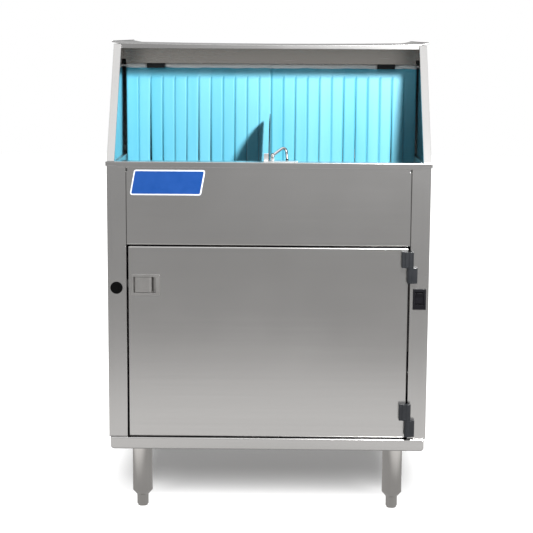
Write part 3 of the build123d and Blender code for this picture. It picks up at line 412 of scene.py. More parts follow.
def turned_steel(name, rough, dark, pale, stretch, bump_strength=0.05):
    """Drawn or turned bright steel: fine lines one way, thin cloudy oil and a painted highlight along the
    edges.
    """
    material, tree, shader = new_material(name, {"Metallic": 1.0})
    brushed = placed_group(tree, grain_group, {"Stretch": stretch})
    marks_and_highlight = placed_group(tree, marks_and_highlight_group, {"Cloud Scale": 14.0, "Speck Size": 0.0, "Edge Width": 0.0006})
    shade = maths(tree, "MULTIPLY_ADD", brushed.outputs["Streaks"], 0.6, 0.0)
    shade = maths(tree, "MULTIPLY_ADD", marks_and_highlight.outputs["Clouds"], 0.4, shade)
    # Painted highlight: the colour is lightened along rounded edges.
    shade = maths(tree, "MULTIPLY_ADD", marks_and_highlight.outputs["Edges"], 0.3, shade)
    tree.links.new(tinted(tree, shade, dark, pale), shader.inputs["Base Color"])
    roughness = spread(tree, marks_and_highlight.outputs["Clouds"], 0.3, 0.7, rough * 0.75, rough * 1.3)
    tree.links.new(roughness, shader.inputs["Roughness"])
    bump = add(
        tree,
        "ShaderNodeBump",
        None,
        {
            "Strength": bump_strength,
            "Distance": 0.0003,
            "Height": brushed.outputs["Lines"],
            "Normal": marks_and_highlight.outputs["Round Normal"],
        },
    )
    tree.links.new(bump.outputs[0], shader.inputs["Normal"])
    return material


screw_steel = turned_steel(
    "screw_steel", 0.24, (0.52, 0.52, 0.53), (0.72, 0.72, 0.73), (600.0, 40.0, 600.0)
)
screw_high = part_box("back_screws")[1]
side_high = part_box("right_side_panel")[1]
SCREW_HEAD = 0.0042
SCREW_HEIGHTS = [0.220, 0.400, 0.580, 0.760, 0.930]
screw_points = []
for height in SCREW_HEIGHTS:
    for side in (-1, 1):
        screw_points.append((side * (screw_high.x - SCREW_HEAD), side_high.y, height))
screws = grow(
    "cross_head_screws",
    screw_points,
    make_screw_tree(screw_steel),
    {"Head Radius": SCREW_HEAD, "Head Height": screw_high.y - side_high.y},
)
outward(screws)
smooth(screws)
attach(screws, "cabinet")
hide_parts("back_screws")


# ---- Tank, screen and brackets ------------------------------------------------------
# Deep folded tank with its slotted scrap screen, and the brackets under it: mill-finish
# stainless, dulled and spotted by hard water.

def wet_stainless(name, rough, spot_scale):
    """Mill-finish sheet with dried water spots."""
    material, tree, shader = new_material(name, {"Metallic": 1.0})
    brushed = placed_group(tree, grain_group, {"Stretch": (120.0, 120.0, 120.0)})
    marks_and_highlight = placed_group(tree, marks_and_highlight_group, {"Cloud Scale": 9.0, "Speck Scale": 60.0, "Speck Size": 0.0})
    place = add(tree, "ShaderNodeTexCoord").outputs["Object"]
    cells = add(tree, "ShaderNodeTexVoronoi", None, {"Vector": place, "Scale": spot_scale})
    ring = maths(tree, "ABSOLUTE", maths(tree, "SUBTRACT", cells.outputs["Distance"], 0.28))
    spots = spread(tree, ring, 0.0, 0.05, 1.0, 0.0, smooth=True)
    shade = maths(tree, "MULTIPLY_ADD", spots, 0.35, marks_and_highlight.outputs["Clouds"])
    colour = tinted(tree, shade, (0.40, 0.40, 0.39), (0.60, 0.60, 0.585))
    tree.links.new(colour, shader.inputs["Base Color"])
    dull = maths(tree, "MULTIPLY_ADD", spots, 0.10, rough)
    dull = maths(tree, "MULTIPLY_ADD", marks_and_highlight.outputs["Clouds"], 0.12, dull)
    tree.links.new(dull, shader.inputs["Roughness"])
    bump = add(
        tree,
        "ShaderNodeBump",
        None,
        {
            "Strength": 0.08,
            "Distance": 0.0005,
            "Height": brushed.outputs["Lines"],
            "Normal": marks_and_highlight.outputs["Round Normal"],
        },
    )
    tree.links.new(bump.outputs[0], shader.inputs["Normal"])
    return material


paint(["wash_tank", "scrap_screen"], wet_stainless("stainless_wet", 0.24, 30.0))
paint(["pump_bracket", "dispenser_bracket", "control_box"], wet_stainless("stainless_mill", 0.30, 9.0))


# ---- Legs, feet and pipes of bright tube --------------------------------------------
# Round stainless leg tubes with screwed bullet feet, and the risers, spray arms, rod,
# shaft and standpipe, all drawn tube or bar, polished lengthwise.

leg_steel = turned_steel(
    "polished_tube", 0.15, (0.52, 0.505, 0.49), (0.66, 0.645, 0.63), (700.0, 700.0, 9.0), 0.06
)
paint(["leg_tubes", "foot_front_left", "foot_front_right", "foot_rear_left", "foot_rear_right"], leg_steel)
paint(["wash_riser", "rinse_riser", "drive_shaft", "overflow_standpipe", "hinge_pins"], leg_steel)
bar_steel = turned_steel(
    "polished_bar", 0.16, (0.55, 0.55, 0.55), (0.72, 0.72, 0.72), (9.0, 700.0, 700.0), 0.05
)
paint(["wash_arms", "rinse_arms", "curtain_rod"], bar_steel)
paint(
    ["tank_heater"],
    turned_steel("heater_sheath", 0.34, (0.20, 0.17, 0.15), (0.36, 0.32, 0.29), (200.0, 200.0, 200.0), 0.1),
)


# ---- Divider fin and stop arm -------------------------------------------------------
# The folded steel bracket on the ledge, and a bent round wire that stops the carousel
# when a glass reaches it. The divider fin behind them is with the moulded pieces: its
# near-black is painted shade, standing for the dark shadow it reflects.

BRACKET_DARK = (0.62, 0.62, 0.62)
BRACKET_PALE = (0.75, 0.75, 0.75)
paint(["stop_arm_bracket"], stainless("stainless_bracket", GRAIN_ACROSS, 0.30, BRACKET_DARK, BRACKET_PALE))
stop_steel = turned_steel("stop_wire", 0.12, (0.62, 0.62, 0.63), (0.80, 0.80, 0.80), (40.0, 700.0, 700.0))
paint(["stop_arm"], stop_steel)


# ---- Door latch ---------------------------------------------------------------------
# Flush pull latch: a cast and satin-plated pocket plate, a hinged paddle in it, and the
# tongue that the paddle draws back.

def satin_casting(name, dark, pale, rough):
    """Satin-plated casting with a faint orange-peel skin and a painted highlight along the rims."""
    material, tree, shader = new_material(name, {"Metallic": 1.0})
    marks_and_highlight = placed_group(tree, marks_and_highlight_group, {"Cloud Scale": 40.0, "Speck Size": 0.0, "Edge Width": 0.0007})
    place = add(tree, "ShaderNodeTexCoord").outputs["Object"]
    skin = noise(tree, place, 1500.0, 3.0)
    # Painted highlight: the colour is lightened along rounded rims, over the cloudy tone.
    shade = maths(tree, "MULTIPLY_ADD", marks_and_highlight.outputs["Edges"], 0.6, marks_and_highlight.outputs["Clouds"])
    tree.links.new(tinted(tree, shade, dark, pale), shader.inputs["Base Color"])
    roughness = spread(tree, skin, 0.3, 0.7, rough - 0.04, rough + 0.06)
    tree.links.new(roughness, shader.inputs["Roughness"])
    bump = add(
        tree,
        "ShaderNodeBump",
        None,
        {"Strength": 0.1, "Distance": 0.0003, "Height": skin, "Normal": marks_and_highlight.outputs["Round Normal"]},
    )
    tree.links.new(bump.outputs[0], shader.inputs["Normal"])
    return material


latch_satin = satin_casting("latch_satin", (0.40, 0.39, 0.38), (0.60, 0.59, 0.58), 0.30)
paint(["latch_cup", "latch_paddle"], latch_satin)
paint(["latch_bolt"], satin_casting("latch_tongue", (0.40, 0.40, 0.40), (0.60, 0.60, 0.60), 0.22))


# ---- Black moulded pieces -----------------------------------------------------------
# Lift-off hinge leaves, switch frame, hole plug, curtain clips, arm bush and cord gland:
# nylon, fine spark-eroded skin, a painted highlight along the edges. The divider fin gets a
# glossier near-black as painted shade, standing for the dark shadow it reflects.

def moulded(name, dark, pale, rough, skin_scale=2600.0, skin_strength=0.25, gloss=0.5, edge=0.0006):
    """Moulded plastic with a fine skin, slight flow shading and a painted highlight along the edges."""
    material, tree, shader = new_material(name, {"IOR": 1.5, "Specular IOR Level": gloss})
    marks_and_highlight = placed_group(tree, marks_and_highlight_group, {"Cloud Scale": 22.0, "Speck Size": 0.0, "Edge Width": edge})
    place = add(tree, "ShaderNodeTexCoord").outputs["Object"]
    skin = noise(tree, place, skin_scale, 2.0)
    # Painted highlight: the colour is lightened along rounded edges.
    shade = maths(tree, "MULTIPLY_ADD", marks_and_highlight.outputs["Edges"], 0.55, marks_and_highlight.outputs["Clouds"])
    tree.links.new(tinted(tree, shade, dark, pale), shader.inputs["Base Color"])
    roughness = spread(tree, marks_and_highlight.outputs["Clouds"], 0.3, 0.7, rough - 0.06, rough + 0.08)
    tree.links.new(roughness, shader.inputs["Roughness"])
    bump = add(
        tree,
        "ShaderNodeBump",
        None,
        {
            "Strength": skin_strength,
            "Distance": 0.0002,
            "Height": skin,
            "Normal": marks_and_highlight.outputs["Round Normal"],
        },
    )
    tree.links.new(bump.outputs[0], shader.inputs["Normal"])
    return material


black_nylon = moulded("black_nylon", (0.007, 0.008, 0.010), (0.026, 0.028, 0.032), 0.42, gloss=0.28)
paint(["hinge_frame_leaves", "hinge_door_leaves"], black_nylon)
paint(["curtain_clips", "stop_arm_hub", "cable_gland"], black_nylon)
plug_black = moulded("plug_black", (0.001, 0.001, 0.001), (0.004, 0.004, 0.004), 0.6, gloss=0.04)
paint(["hole_plug"], plug_black)
switch_frame = moulded("switch_frame", (0.003, 0.003, 0.004), (0.012, 0.012, 0.015), 0.42, gloss=0.12)
paint(["switch_bezel"], switch_frame)
rocker_gloss = moulded("rocker_gloss", (0.003, 0.003, 0.004), (0.010, 0.010, 0.013), 0.30, gloss=0.14)
paint(["power_rocker"], rocker_gloss)
# Divider fin: glossy near-black as painted shade, for the dark shadow and wall it reflects.
fin_painted_dark = moulded("fin_gloss", (0.004, 0.005, 0.009), (0.012, 0.014, 0.020), 0.12, 900.0, 0.03, gloss=0.6)
paint(["divider_fin"], fin_painted_dark)


# ---- Grey moulded pieces ------------------------------------------------------------
# Carousel deck, pump housing and impeller, bearings and dispenser heads: grey polypropylene
# with a coarser skin, and the pale scuffs that glasses leave on the deck.

grey_poly = moulded("grey_polypropylene", (0.20, 0.21, 0.22), (0.34, 0.35, 0.36), 0.46, 900.0, 0.3)
paint(["carousel_rack", "pump_housing", "pump_impeller", "shaft_bearings"], grey_poly)
paint(["dispenser_heads"], moulded("dispenser_grey", (0.28, 0.29, 0.30), (0.40, 0.41, 0.42), 0.40, 1400.0))
rotor_white = moulded("rotor_acetal", (0.55, 0.55, 0.53), (0.70, 0.70, 0.68), 0.35, 1400.0, 0.15)
paint(["dispenser_rotor_1", "dispenser_rotor_2", "dispenser_rotor_3"], rotor_white)
pipe_grey = moulded("pipe_plastic", (0.48, 0.48, 0.47), (0.62, 0.62, 0.60), 0.33, 700.0, 0.12)
paint(["suction_pipe", "discharge_pipe", "drain_pipe"], pipe_grey)


# ---- Motors and valve ---------------------------------------------------------------
# Pump motor and gearmotor in dark hammered enamel over cast aluminium, and a cast brass
# rinse valve that has begun to tarnish.

def hammered_enamel(name, dark, pale):
    """Dark enamel with the dimpled hammer finish used on motor housings."""
    material, tree, shader = new_material(name, {"IOR": 1.52, "Coat Weight": 0.35, "Coat Roughness": 0.12})
    marks_and_highlight = placed_group(tree, marks_and_highlight_group, {"Cloud Scale": 18.0, "Speck Size": 0.0, "Edge Width": 0.001})
    place = add(tree, "ShaderNodeTexCoord").outputs["Object"]
    cells = add(
        tree,
        "ShaderNodeTexVoronoi",
        {"feature": "SMOOTH_F1"},
        {"Vector": place, "Scale": 260.0, "Smoothness": 0.6},
    )
    shade = maths(tree, "MULTIPLY_ADD", cells.outputs["Distance"], 0.8, 0.0)
    # Painted highlight: the colour is lightened along rounded edges.
    shade = maths(tree, "MULTIPLY_ADD", marks_and_highlight.outputs["Edges"], 0.8, shade)
    tree.links.new(tinted(tree, shade, dark, pale), shader.inputs["Base Color"])
    roughness = spread(tree, cells.outputs["Distance"], 0.0, 0.6, 0.28, 0.5)
    tree.links.new(roughness, shader.inputs["Roughness"])
    bump = add(
        tree,
        "ShaderNodeBump",
        None,
        {
            "Strength": 0.35,
            "Distance": 0.0006,
            "Height": cells.outputs["Distance"],
            "Normal": marks_and_highlight.outputs["Round Normal"],
        },
    )
    tree.links.new(bump.outputs[0], shader.inputs["Normal"])
    return material


motor_enamel = hammered_enamel("motor_enamel", (0.030, 0.034, 0.040), (0.11, 0.12, 0.13))
paint(["pump_motor", "gearmotor"], motor_enamel)
paint(["rinse_valve"], satin_casting("valve_brass_cast", (0.34, 0.22, 0.08), (0.62, 0.46, 0.20), 0.34))


# ---- Name plate ---------------------------------------------------------------------
# A leaning blank plate stuck on the apron: blue print with a pale border, under a clear
# domed resin coat with a soft edge.

def plate_outline(low, high, lean, corner, inset, steps=7):
    """Rounded leaning outline in X and Z, drawn in by an inset."""
    slant = math.atan2(lean, high.z - low.z)
    side = inset / math.cos(slant)
    slide = inset * math.tan(slant)
    corners = [
        (low.x + side + slide, low.z + inset),
        (high.x - lean - side + slide, low.z + inset),
        (high.x - side - slide, high.z - inset),
        (low.x + lean + side - slide, high.z - inset),
    ]
    round_by = max(corner - inset, 0.0012)
    points = []
    for i, here in enumerate(corners):
        before = Vector(corners[i - 1]) - Vector(here)
        after = Vector(corners[(i + 1) % 4]) - Vector(here)
        half = before.angle(after) / 2
        reach = round_by / math.tan(half)
        start = Vector(here) + before.normalized() * reach
        end = Vector(here) + after.normalized() * reach
        for k in range(steps):
            t = k / (steps - 1)
            points.append(start * (1 - t) ** 2 + Vector(here) * 2 * t * (1 - t) + end * t * t)
    return points


def blue_print():
    """Printed blue under clear resin: slight print mottle."""
    material, tree, shader = new_material(
        "plate_blue", {"IOR": 1.5, "Specular IOR Level": 0.25}
    )
    place = add(tree, "ShaderNodeTexCoord").outputs["Object"]
    mottle = noise(tree, place, 90.0, 3.0)
    colour = tinted(tree, mottle, (0.003, 0.045, 0.215), (0.006, 0.062, 0.27))
    tree.links.new(colour, shader.inputs["Base Color"])
    tree.links.new(spread(tree, mottle, 0.3, 0.7, 0.38, 0.5), shader.inputs["Roughness"])
    return material


def pale_border():
    """Printed off-white border under the same resin."""
    material, tree, shader = new_material(
        "plate_border", {"IOR": 1.5, "Specular IOR Level": 0.25}
    )
    place = add(tree, "ShaderNodeTexCoord").outputs["Object"]
    mottle = noise(tree, place, 120.0, 3.0)
    colour = tinted(tree, mottle, (0.62, 0.66, 0.73), (0.76, 0.79, 0.84))
    tree.links.new(colour, shader.inputs["Base Color"])
    tree.links.new(spread(tree, mottle, 0.3, 0.7, 0.40, 0.52), shader.inputs["Roughness"])
    return material


PLATE_LEAN = 0.0094
PLATE_CORNER = 0.0055
# Each outline's inset in metres, its height as a share of the plate's, and its finish.
PLATE_OUTLINES = [
    (0.0, 0.0, 0),
    (0.0, 0.55, 0),
    (0.0004, 0.85, 0),
    (0.0011, 1.0, 0),
    (0.0026, 1.0, 0),
    (0.0029, 0.93, 1),
    (0.0200, 0.93, 1),
]


def make_name_plate():
    """Lofts the plate from outlines: back rim, rolled edge, border and blue field."""
    low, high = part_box("badge_plate")
    thick = high.y - low.y
    shape = bmesh.new()
    rings = []
    for inset, height, _ in PLATE_OUTLINES:
        ring = []
        for point in plate_outline(low, high, PLATE_LEAN, PLATE_CORNER, inset):
            ring.append(shape.verts.new((point.x, high.y - thick * height, point.y)))
        rings.append(ring)
    count = len(rings[0])
    for level in range(len(rings) - 1):
        for i in range(count):
            j = (i + 1) % count
            near_ring, far_ring = rings[level], rings[level + 1]
            face = shape.faces.new((near_ring[i], near_ring[j], far_ring[j], far_ring[i]))
            face.material_index = PLATE_OUTLINES[level + 1][2]
    shape.faces.new(rings[0])
    cap = shape.faces.new(rings[-1])
    cap.material_index = 1
    bmesh.ops.recalc_face_normals(shape, faces=shape.faces)
    mesh = bpy.data.meshes.new("name_plate")
    shape.to_mesh(mesh)
    shape.free()
    mesh.materials.append(pale_border())
    mesh.materials.append(blue_print())
    plate = new_object("name_plate", mesh)
    smooth(plate, 40.0)
    return plate


name_plate = make_name_plate()
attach(name_plate, "cabinet")
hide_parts("badge_plate")


# ---- Strip curtain ------------------------------------------------------------------
# Light blue flexible vinyl, one sheet for each side, slit from the foot into inch-wide
# strips that hang a little apart, under a hem that the rod passes through.

def make_vinyl():
    """Glossy soft vinyl: blue, each strip lighter or darker as painted light for how it faces the lamp,
    faint cast lines down the strip, slight waviness.
    """
    material, tree, shader = new_material(
        "curtain_vinyl", {"IOR": 1.52, "Specular IOR Level": 0.8}
    )
    place = add(tree, "ShaderNodeTexCoord").outputs["Object"]
    tall = add(tree, "ShaderNodeMapping", None, {"Vector": place, "Scale": (60.0, 60.0, 3.0)})
    drawn = noise(tree, tall.outputs[0], 1.0, 3.0)
    # Each strip's own level of painted light, lighter or darker for how it faces the lamp.
    shade = add(tree, "ShaderNodeAttribute", {"attribute_name": "strip_painted_light"}).outputs["Fac"]
    mixed = maths(tree, "MULTIPLY_ADD", drawn, 0.35, shade)
    colour = tinted(tree, mixed, (0.07, 0.47, 0.66), (0.17, 0.60, 0.78))
    tree.links.new(colour, shader.inputs["Base Color"])
    tree.links.new(spread(tree, drawn, 0.3, 0.7, 0.40, 0.50), shader.inputs["Roughness"])
    bump = add(tree, "ShaderNodeBump", None, {"Strength": 0.08, "Distance": 0.001, "Height": drawn})
    tree.links.new(bump.outputs[0], shader.inputs["Normal"])
    return material


def make_strip_tree(material):
    """Hangs one strip on each point. Point attributes say how far its edges draw in at
    the foot, how it turns and how it leans."""
    tree, inside, out = geometry_tree(
        "hanging_strips",
        [
            ("Pitch", "Float", 0.0265),
            ("Length", "Float", 0.215),
            ("Solid Head", "Float", 0.1),
            ("Rows", "Int", 28),
            ("Columns", "Int", 7),
        ],
    )
    pitch, length = inside.outputs["Pitch"], inside.outputs["Length"]
    columns, rows = inside.outputs["Columns"], inside.outputs["Rows"]
    grid = add(
        tree,
        "GeometryNodeMeshGrid",
        None,
        {"Size X": 1.0, "Size Y": 1.0, "Vertices X": columns, "Vertices Y": rows},
    )
    position = add(tree, "GeometryNodeInputPosition").outputs[0]
    parts = add(tree, "ShaderNodeSeparateXYZ", None, {0: position})
    across = add(
        tree,
        "GeometryNodeStoreNamedAttribute",
        {"data_type": "FLOAT", "domain": "POINT"},
        {"Geometry": grid.outputs["Mesh"], "Name": "across", "Value": parts.outputs["X"]},
    )
    down_value = maths(tree, "SUBTRACT", 0.5, parts.outputs["Y"])
    down = add(
        tree,
        "GeometryNodeStoreNamedAttribute",
        {"data_type": "FLOAT", "domain": "POINT"},
        {"Geometry": across.outputs[0], "Name": "down", "Value": down_value},
    )
    back = add(tree, "ShaderNodeVectorMath", {"operation": "SCALE"}, {0: position, "Scale": -1.0})
    flat = add(
        tree, "GeometryNodeSetPosition", None, {"Geometry": down.outputs[0], "Offset": back.outputs[0]}
    )
    hung = add(
        tree,
        "GeometryNodeInstanceOnPoints",
        None,
        {"Points": inside.outputs["Geometry"], "Instance": flat.outputs[0]},
    )
    real = add(tree, "GeometryNodeRealizeInstances", None, {"Geometry": hung.outputs[0]})

    def named(label):
        made = add(tree, "GeometryNodeInputNamedAttribute", {"data_type": "FLOAT"}, {"Name": label})
        return made.outputs["Attribute"]

    u, v = named("across"), named("down")
    free = spread(tree, v, inside.outputs["Solid Head"], 1.0, 0.0, 1.0)
    right_side = maths(tree, "ADD", u, 0.5)
    left_side = maths(tree, "SUBTRACT", 0.5, u)
    drawn_in = maths(
        tree,
        "SUBTRACT",
        maths(tree, "MULTIPLY", named("open_left"), left_side),
        maths(tree, "MULTIPLY", named("open_right"), right_side),
    )
    wide = maths(tree, "MULTIPLY", u, pitch)
    sideways = maths(tree, "MULTIPLY_ADD", drawn_in, free, wide)
    angle = maths(tree, "MULTIPLY", named("turn"), free)
    swing = maths(tree, "MULTIPLY", wide, maths(tree, "SINE", angle))
    lean = maths(tree, "MULTIPLY", named("lean"), maths(tree, "MULTIPLY", free, v))
    arched = maths(tree, "SUBTRACT", 0.25, maths(tree, "MULTIPLY", u, u))
    bow = maths(tree, "MULTIPLY", named("bow"), arched)
    bowed = maths(tree, "MULTIPLY", bow, free)
    deep = maths(tree, "ADD", maths(tree, "ADD", swing, lean), bowed)
    fallen = maths(tree, "MULTIPLY", maths(tree, "MULTIPLY", v, length), -1.0)
    offset = add(tree, "ShaderNodeCombineXYZ", None, {0: sideways, 1: deep, 2: fallen})
    shaped = add(
        tree, "GeometryNodeSetPosition", None, {"Geometry": real.outputs[0], "Offset": offset.outputs[0]}
    )
    finish_tree(tree, out, shaped.outputs[0], material)
    return tree


STRIPS = 24
STRIP_THICKNESS = 0.0014
SLIT_OPENINGS_MM = [
    2.0, 0.2, 4.4, 1.6, 0.9, 0.9, 3.0, 2.4, 0.2, 1.7, 0.9, 0.8,
    1.8, 0.5, 1.6, 0.4, 1.2, 0.1, 1.7, 1.7, 0.4, 0.4, 2.6, 0.6, 1.0,
]
left_low, left_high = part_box("curtain_left")
right_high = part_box("curtain_right")[1]
curtain_y = (left_low.y + left_high.y) / 2
STRIP_OVERHANG = 0.0022
edge_left = left_low.x - STRIP_OVERHANG
edge_right = right_high.x + STRIP_OVERHANG
rod_low, rod_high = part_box("curtain_rod")
rod_y = (rod_low.y + rod_high.y) / 2
rod_z = (rod_low.z + rod_high.z) / 2
hem_radius = (rod_high.z - rod_low.z) / 2 + 0.0016
strip_top = rod_z - hem_radius
strip_length = strip_top - left_low.z
strip_pitch = (edge_right - edge_left) / STRIPS
vinyl = make_vinyl()
strip_tree = make_strip_tree(vinyl)


def strip_attributes(first, last):
    """How each strip of a range hangs: openings beside it, turn, lean and its level of painted light."""
    dice = random.Random(7)
    rows = []
    for i in range(STRIPS):
        turn = math.radians(dice.uniform(-2.2, 2.2))
        lean = dice.uniform(-0.0022, 0.0022)
        bow = dice.uniform(-0.002, 0.002)
        # Painted light: each strip lighter or darker at random, for strips that face the lamp differently.
        shade = dice.uniform(0.05, 0.75)
        rows.append((turn, lean, bow, shade))
    span = range(first, last)
    return {
        "open_left": [SLIT_OPENINGS_MM[i] / 2000 for i in span],
        "open_right": [SLIT_OPENINGS_MM[i + 1] / 2000 for i in span],
        "turn": [rows[i][0] for i in span],
        "lean": [rows[i][1] for i in span],
        "bow": [rows[i][2] for i in span],
        "strip_painted_light": [rows[i][3] for i in span],
    }


HEM_CLIP_HALF = 0.0185
HEM_STEPS = 20
HEM_SLICES = 48


def add_hem(strips, start, end):
    """The welded pocket round the rod, cut away where a clip holds the rod."""
    low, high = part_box("curtain_clips")
    clip_width = HEM_CLIP_HALF + 0.001
    notches = [(low.x - 0.001, low.x + 2 * clip_width), (high.x - 2 * clip_width, high.x + 0.001)]
    shape = bmesh.new()
    shape.from_mesh(strips.data)
    rings = []
    for i in range(HEM_SLICES + 1):
        x = start + (end - start) * i / HEM_SLICES
        sag = 0.0004 * math.sin(x * 61.0) + 0.0003 * math.sin(x * 143.0)
        ring = []
        for k in range(HEM_STEPS):
            angle = -math.pi / 2 + math.tau * k / HEM_STEPS
            drop = sag * (1.0 - math.sin(angle)) / 2
            y = rod_y + hem_radius * math.cos(angle)
            z = rod_z + hem_radius * math.sin(angle) - drop
            ring.append(shape.verts.new((x, y, z)))
        rings.append(ring)
    for i in range(HEM_SLICES):
        middle = (rings[i][0].co.x + rings[i + 1][0].co.x) / 2
        if any(a < middle < b for a, b in notches):
            continue
        for k in range(HEM_STEPS):
            j = (k + 1) % HEM_STEPS
            shape.faces.new((rings[i][k], rings[i][j], rings[i + 1][j], rings[i + 1][k]))
    loose = [vert for vert in shape.verts if not vert.link_faces]
    bmesh.ops.delete(shape, geom=loose, context="VERTS")
    shape.to_mesh(strips.data)
    shape.free()


def make_strips(name, first, last):
    """One side's strips as a plain mesh, given the vinyl's thickness."""
    points = []
    for i in range(first, last):
        points.append((edge_left + (i + 0.5) * strip_pitch, curtain_y, strip_top))
    strips = grow(
        name,
        points,
        strip_tree,
        {"Pitch": strip_pitch, "Length": strip_length, "Solid Head": 0.09},
        strip_attributes(first, last),
    )
    add_hem(strips, points[0][0] - strip_pitch / 2, points[-1][0] + strip_pitch / 2)
    outward(strips)
    solid = strips.modifiers.new("thickness", "SOLIDIFY")
    solid.thickness = STRIP_THICKNESS
    solid.offset = 0.0
    strips.data.shade_smooth()
    return strips


strips_left = make_strips("curtain_strips_left", 0, STRIPS // 2)
strips_right = make_strips("curtain_strips_right", STRIPS // 2, STRIPS)
for strips, side in ((strips_left, "left"), (strips_right, "right")):
    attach(strips, f"curtain_{side}_flap")
    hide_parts(f"curtain_{side}")


# ---- Studio -------------------------------------------------------------------------
# Pale seamless floor, a small soft lamp in front and to the right that lights the bay, a
# wide lamp for the floor alone, and an even surround for the steel to mirror.

def near_lamp(name, place, power, radius):
    """A small soft lamp close to the machine."""
    lamp = bpy.data.lights.new(name, "POINT")
    lamp.energy = power
    lamp.shadow_soft_size = radius
    made = bpy.data.objects.new(name, lamp)
    bpy.context.scene.collection.objects.link(made)
    made.location = place
    return made


def far_lamp(name, turn, rise, softness, strength):
    """A distant soft lamp, by its angles right of the front and above the floor."""
    lamp = bpy.data.lights.new(name, "SUN")
    lamp.energy = strength
    lamp.angle = math.radians(softness)
    made = bpy.data.objects.new(name, lamp)
    bpy.context.scene.collection.objects.link(made)
    level = math.cos(math.radians(rise))
    turned = math.radians(turn)
    towards = Vector((math.sin(turned) * level, -math.cos(turned) * level, math.sin(math.radians(rise))))
    made.rotation_euler = towards.to_track_quat("Z", "Y").to_euler()
    return made


FLOOR_RADIUS = 9.0
FLOOR_GLOW = 0.12
# The floor as steel mirrors it: painted shadow under the machine and a painted bright pool in front of it,
# by distance from it.
POOL_NEAR = (0.55, 0.85)
POOL_FAR = (1.25, 2.1)
POOL_SHADOW_UNDER, POOL_BRIGHT, POOL_BEYOND = 0.42, 0.98, 0.40


def make_floor():
    """A wide disc with its own pale material."""
    shape = bmesh.new()
    bmesh.ops.create_circle(shape, cap_ends=True, segments=96, radius=FLOOR_RADIUS)
    mesh = bpy.data.meshes.new("studio_floor")
    shape.to_mesh(mesh)
    shape.free()
    floor = new_object("studio_floor", mesh)
    material = bpy.data.materials.new("floor_paper")
    material.use_nodes = True
    tree = material.node_tree
    tree.nodes.remove(tree.nodes["Principled BSDF"])
    place = add(tree, "ShaderNodeTexCoord").outputs["Object"]
    away = add(tree, "ShaderNodeVectorMath", {"operation": "LENGTH"}, {0: place}).outputs["Value"]
    matt = add(tree, "ShaderNodeBsdfDiffuse", None, {"Color": (0.85, 0.85, 0.85, 1.0)})
    glow = add(tree, "ShaderNodeEmission", None, {"Color": (1.0, 1.0, 1.0, 1.0), "Strength": FLOOR_GLOW})
    seen = add(tree, "ShaderNodeAddShader", None, {0: matt.outputs[0], 1: glow.outputs[0]})
    # Painted light for glossy rays: shadow under the machine, a bright pool round it, dimmer further out.
    far_pool = spread(tree, away, *POOL_FAR, POOL_BRIGHT, POOL_BEYOND, smooth=True)
    near_pool = spread(tree, away, *POOL_NEAR, POOL_SHADOW_UNDER, POOL_BRIGHT, smooth=True)
    pool = maths(tree, "MINIMUM", far_pool, near_pool)
    painted_pool_glow = add(tree, "ShaderNodeEmission", None, {"Color": (1.0, 0.99, 0.975, 1.0), "Strength": pool})
    glossy = add(tree, "ShaderNodeLightPath").outputs["Is Glossy Ray"]
    both = add(tree, "ShaderNodeMixShader", None, {0: glossy, 1: seen.outputs[0], 2: painted_pool_glow.outputs[0]})
    tree.links.new(both.outputs[0], tree.nodes["Material Output"].inputs["Surface"])
    mesh.materials.append(material)
    return floor


floor = make_floor()
KEY_PLACE = (0.45, -1.28, 1.32)
KEY_POWER = 135.0
KEY_RADIUS = 0.055
key = near_lamp("key_lamp", KEY_PLACE, KEY_POWER, KEY_RADIUS)
not_lit_by_key = bpy.data.collections.new("not_lit_by_key")
not_lit_by_key.objects.link(floor)
key.light_linking.receiver_collection = not_lit_by_key
not_lit_by_key.collection_objects[0].light_linking.link_state = "EXCLUDE"
floor_lamp = far_lamp("floor_lamp", turn=2.0, rise=37.0, softness=32.0, strength=6.5)
lit_by_floor_lamp = bpy.data.collections.new("floor_only")
lit_by_floor_lamp.objects.link(floor)
floor_lamp.light_linking.receiver_collection = lit_by_floor_lamp
shading_floor = bpy.data.collections.new("shades_floor")
shading_floor.objects.link(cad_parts["base_pan"])
floor_lamp.light_linking.blocker_collection = shading_floor

world = bpy.data.worlds.new("surround")
bpy.context.scene.world = world
world.use_nodes = True
sky = world.node_tree
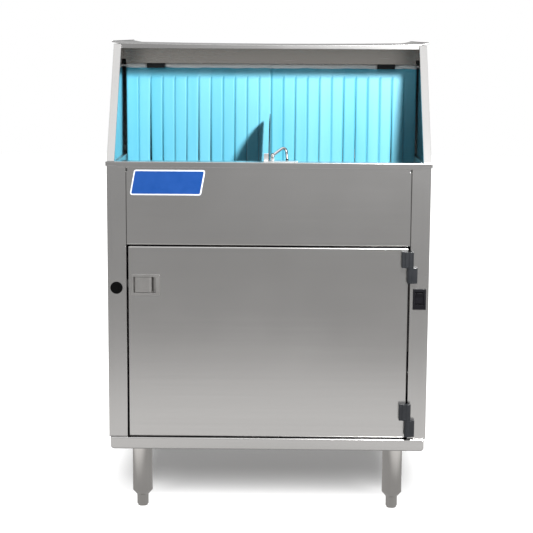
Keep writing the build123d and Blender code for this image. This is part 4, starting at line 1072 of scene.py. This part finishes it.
# Mirrored by steel: even ahead, bright overhead and high behind, dark low behind.
way = add(sky, "ShaderNodeSeparateXYZ", None, {0: add(sky, "ShaderNodeTexCoord").outputs["Generated"]})
overhead = spread(sky, way.outputs["Z"], 0.35, 0.75, 0.0, 1.0, smooth=True)
behind = spread(sky, way.outputs["Y"], -0.35, 0.35, 0.0, 1.0, smooth=True)
level = spread(sky, way.outputs["Z"], -0.2, 0.0, 0.40, 0.44)
front_side = maths(sky, "MULTIPLY_ADD", overhead, 0.85, level)
raised = spread(sky, way.outputs["Z"], 0.06, 0.30, 0.14, 1.0, smooth=True)
rear = maths(sky, "MULTIPLY", behind, raised)
ahead = maths(sky, "MULTIPLY", maths(sky, "SUBTRACT", 1.0, behind), front_side)
surround = maths(sky, "ADD", rear, ahead)
soft = maths(sky, "MULTIPLY_ADD", behind, 0.45, 0.035)
rays = add(sky, "ShaderNodeLightPath")
glossy_part = maths(sky, "MULTIPLY", rays.outputs["Is Glossy Ray"], surround)
camera_part = maths(sky, "ADD", rays.outputs["Is Camera Ray"], glossy_part)
diffuse_part = maths(sky, "MULTIPLY", rays.outputs["Is Diffuse Ray"], soft)
total = maths(sky, "ADD", camera_part, diffuse_part)
sky.nodes["Background"].inputs["Color"].default_value = (1.0, 1.0, 1.0, 1.0)
sky.links.new(total, sky.nodes["Background"].inputs["Strength"])

bpy.context.scene.view_settings.view_transform = "Standard"


# ---- Camera -------------------------------------------------------------------------
# A long lens a little above the hood, aimed slightly down at the front.

CAMERA_PLACE = (0.0278, -3.291, 0.9835)
CAMERA_YAW = 0.01045
CAMERA_PITCH = 0.1548
CAMERA_ROLL = 0.006
lens = bpy.data.cameras.new("camera")
lens.lens = 101.3
lens.sensor_width = 36.0
camera = bpy.data.objects.new("camera", lens)
bpy.context.scene.collection.objects.link(camera)
turned = Matrix.Rotation(CAMERA_YAW, 4, "Z") @ Matrix.Rotation(math.pi / 2 - CAMERA_PITCH, 4, "X")
camera.matrix_world = Matrix.Translation(CAMERA_PLACE) @ turned @ Matrix.Rotation(CAMERA_ROLL, 4, "Z")
bpy.context.scene.camera = camera
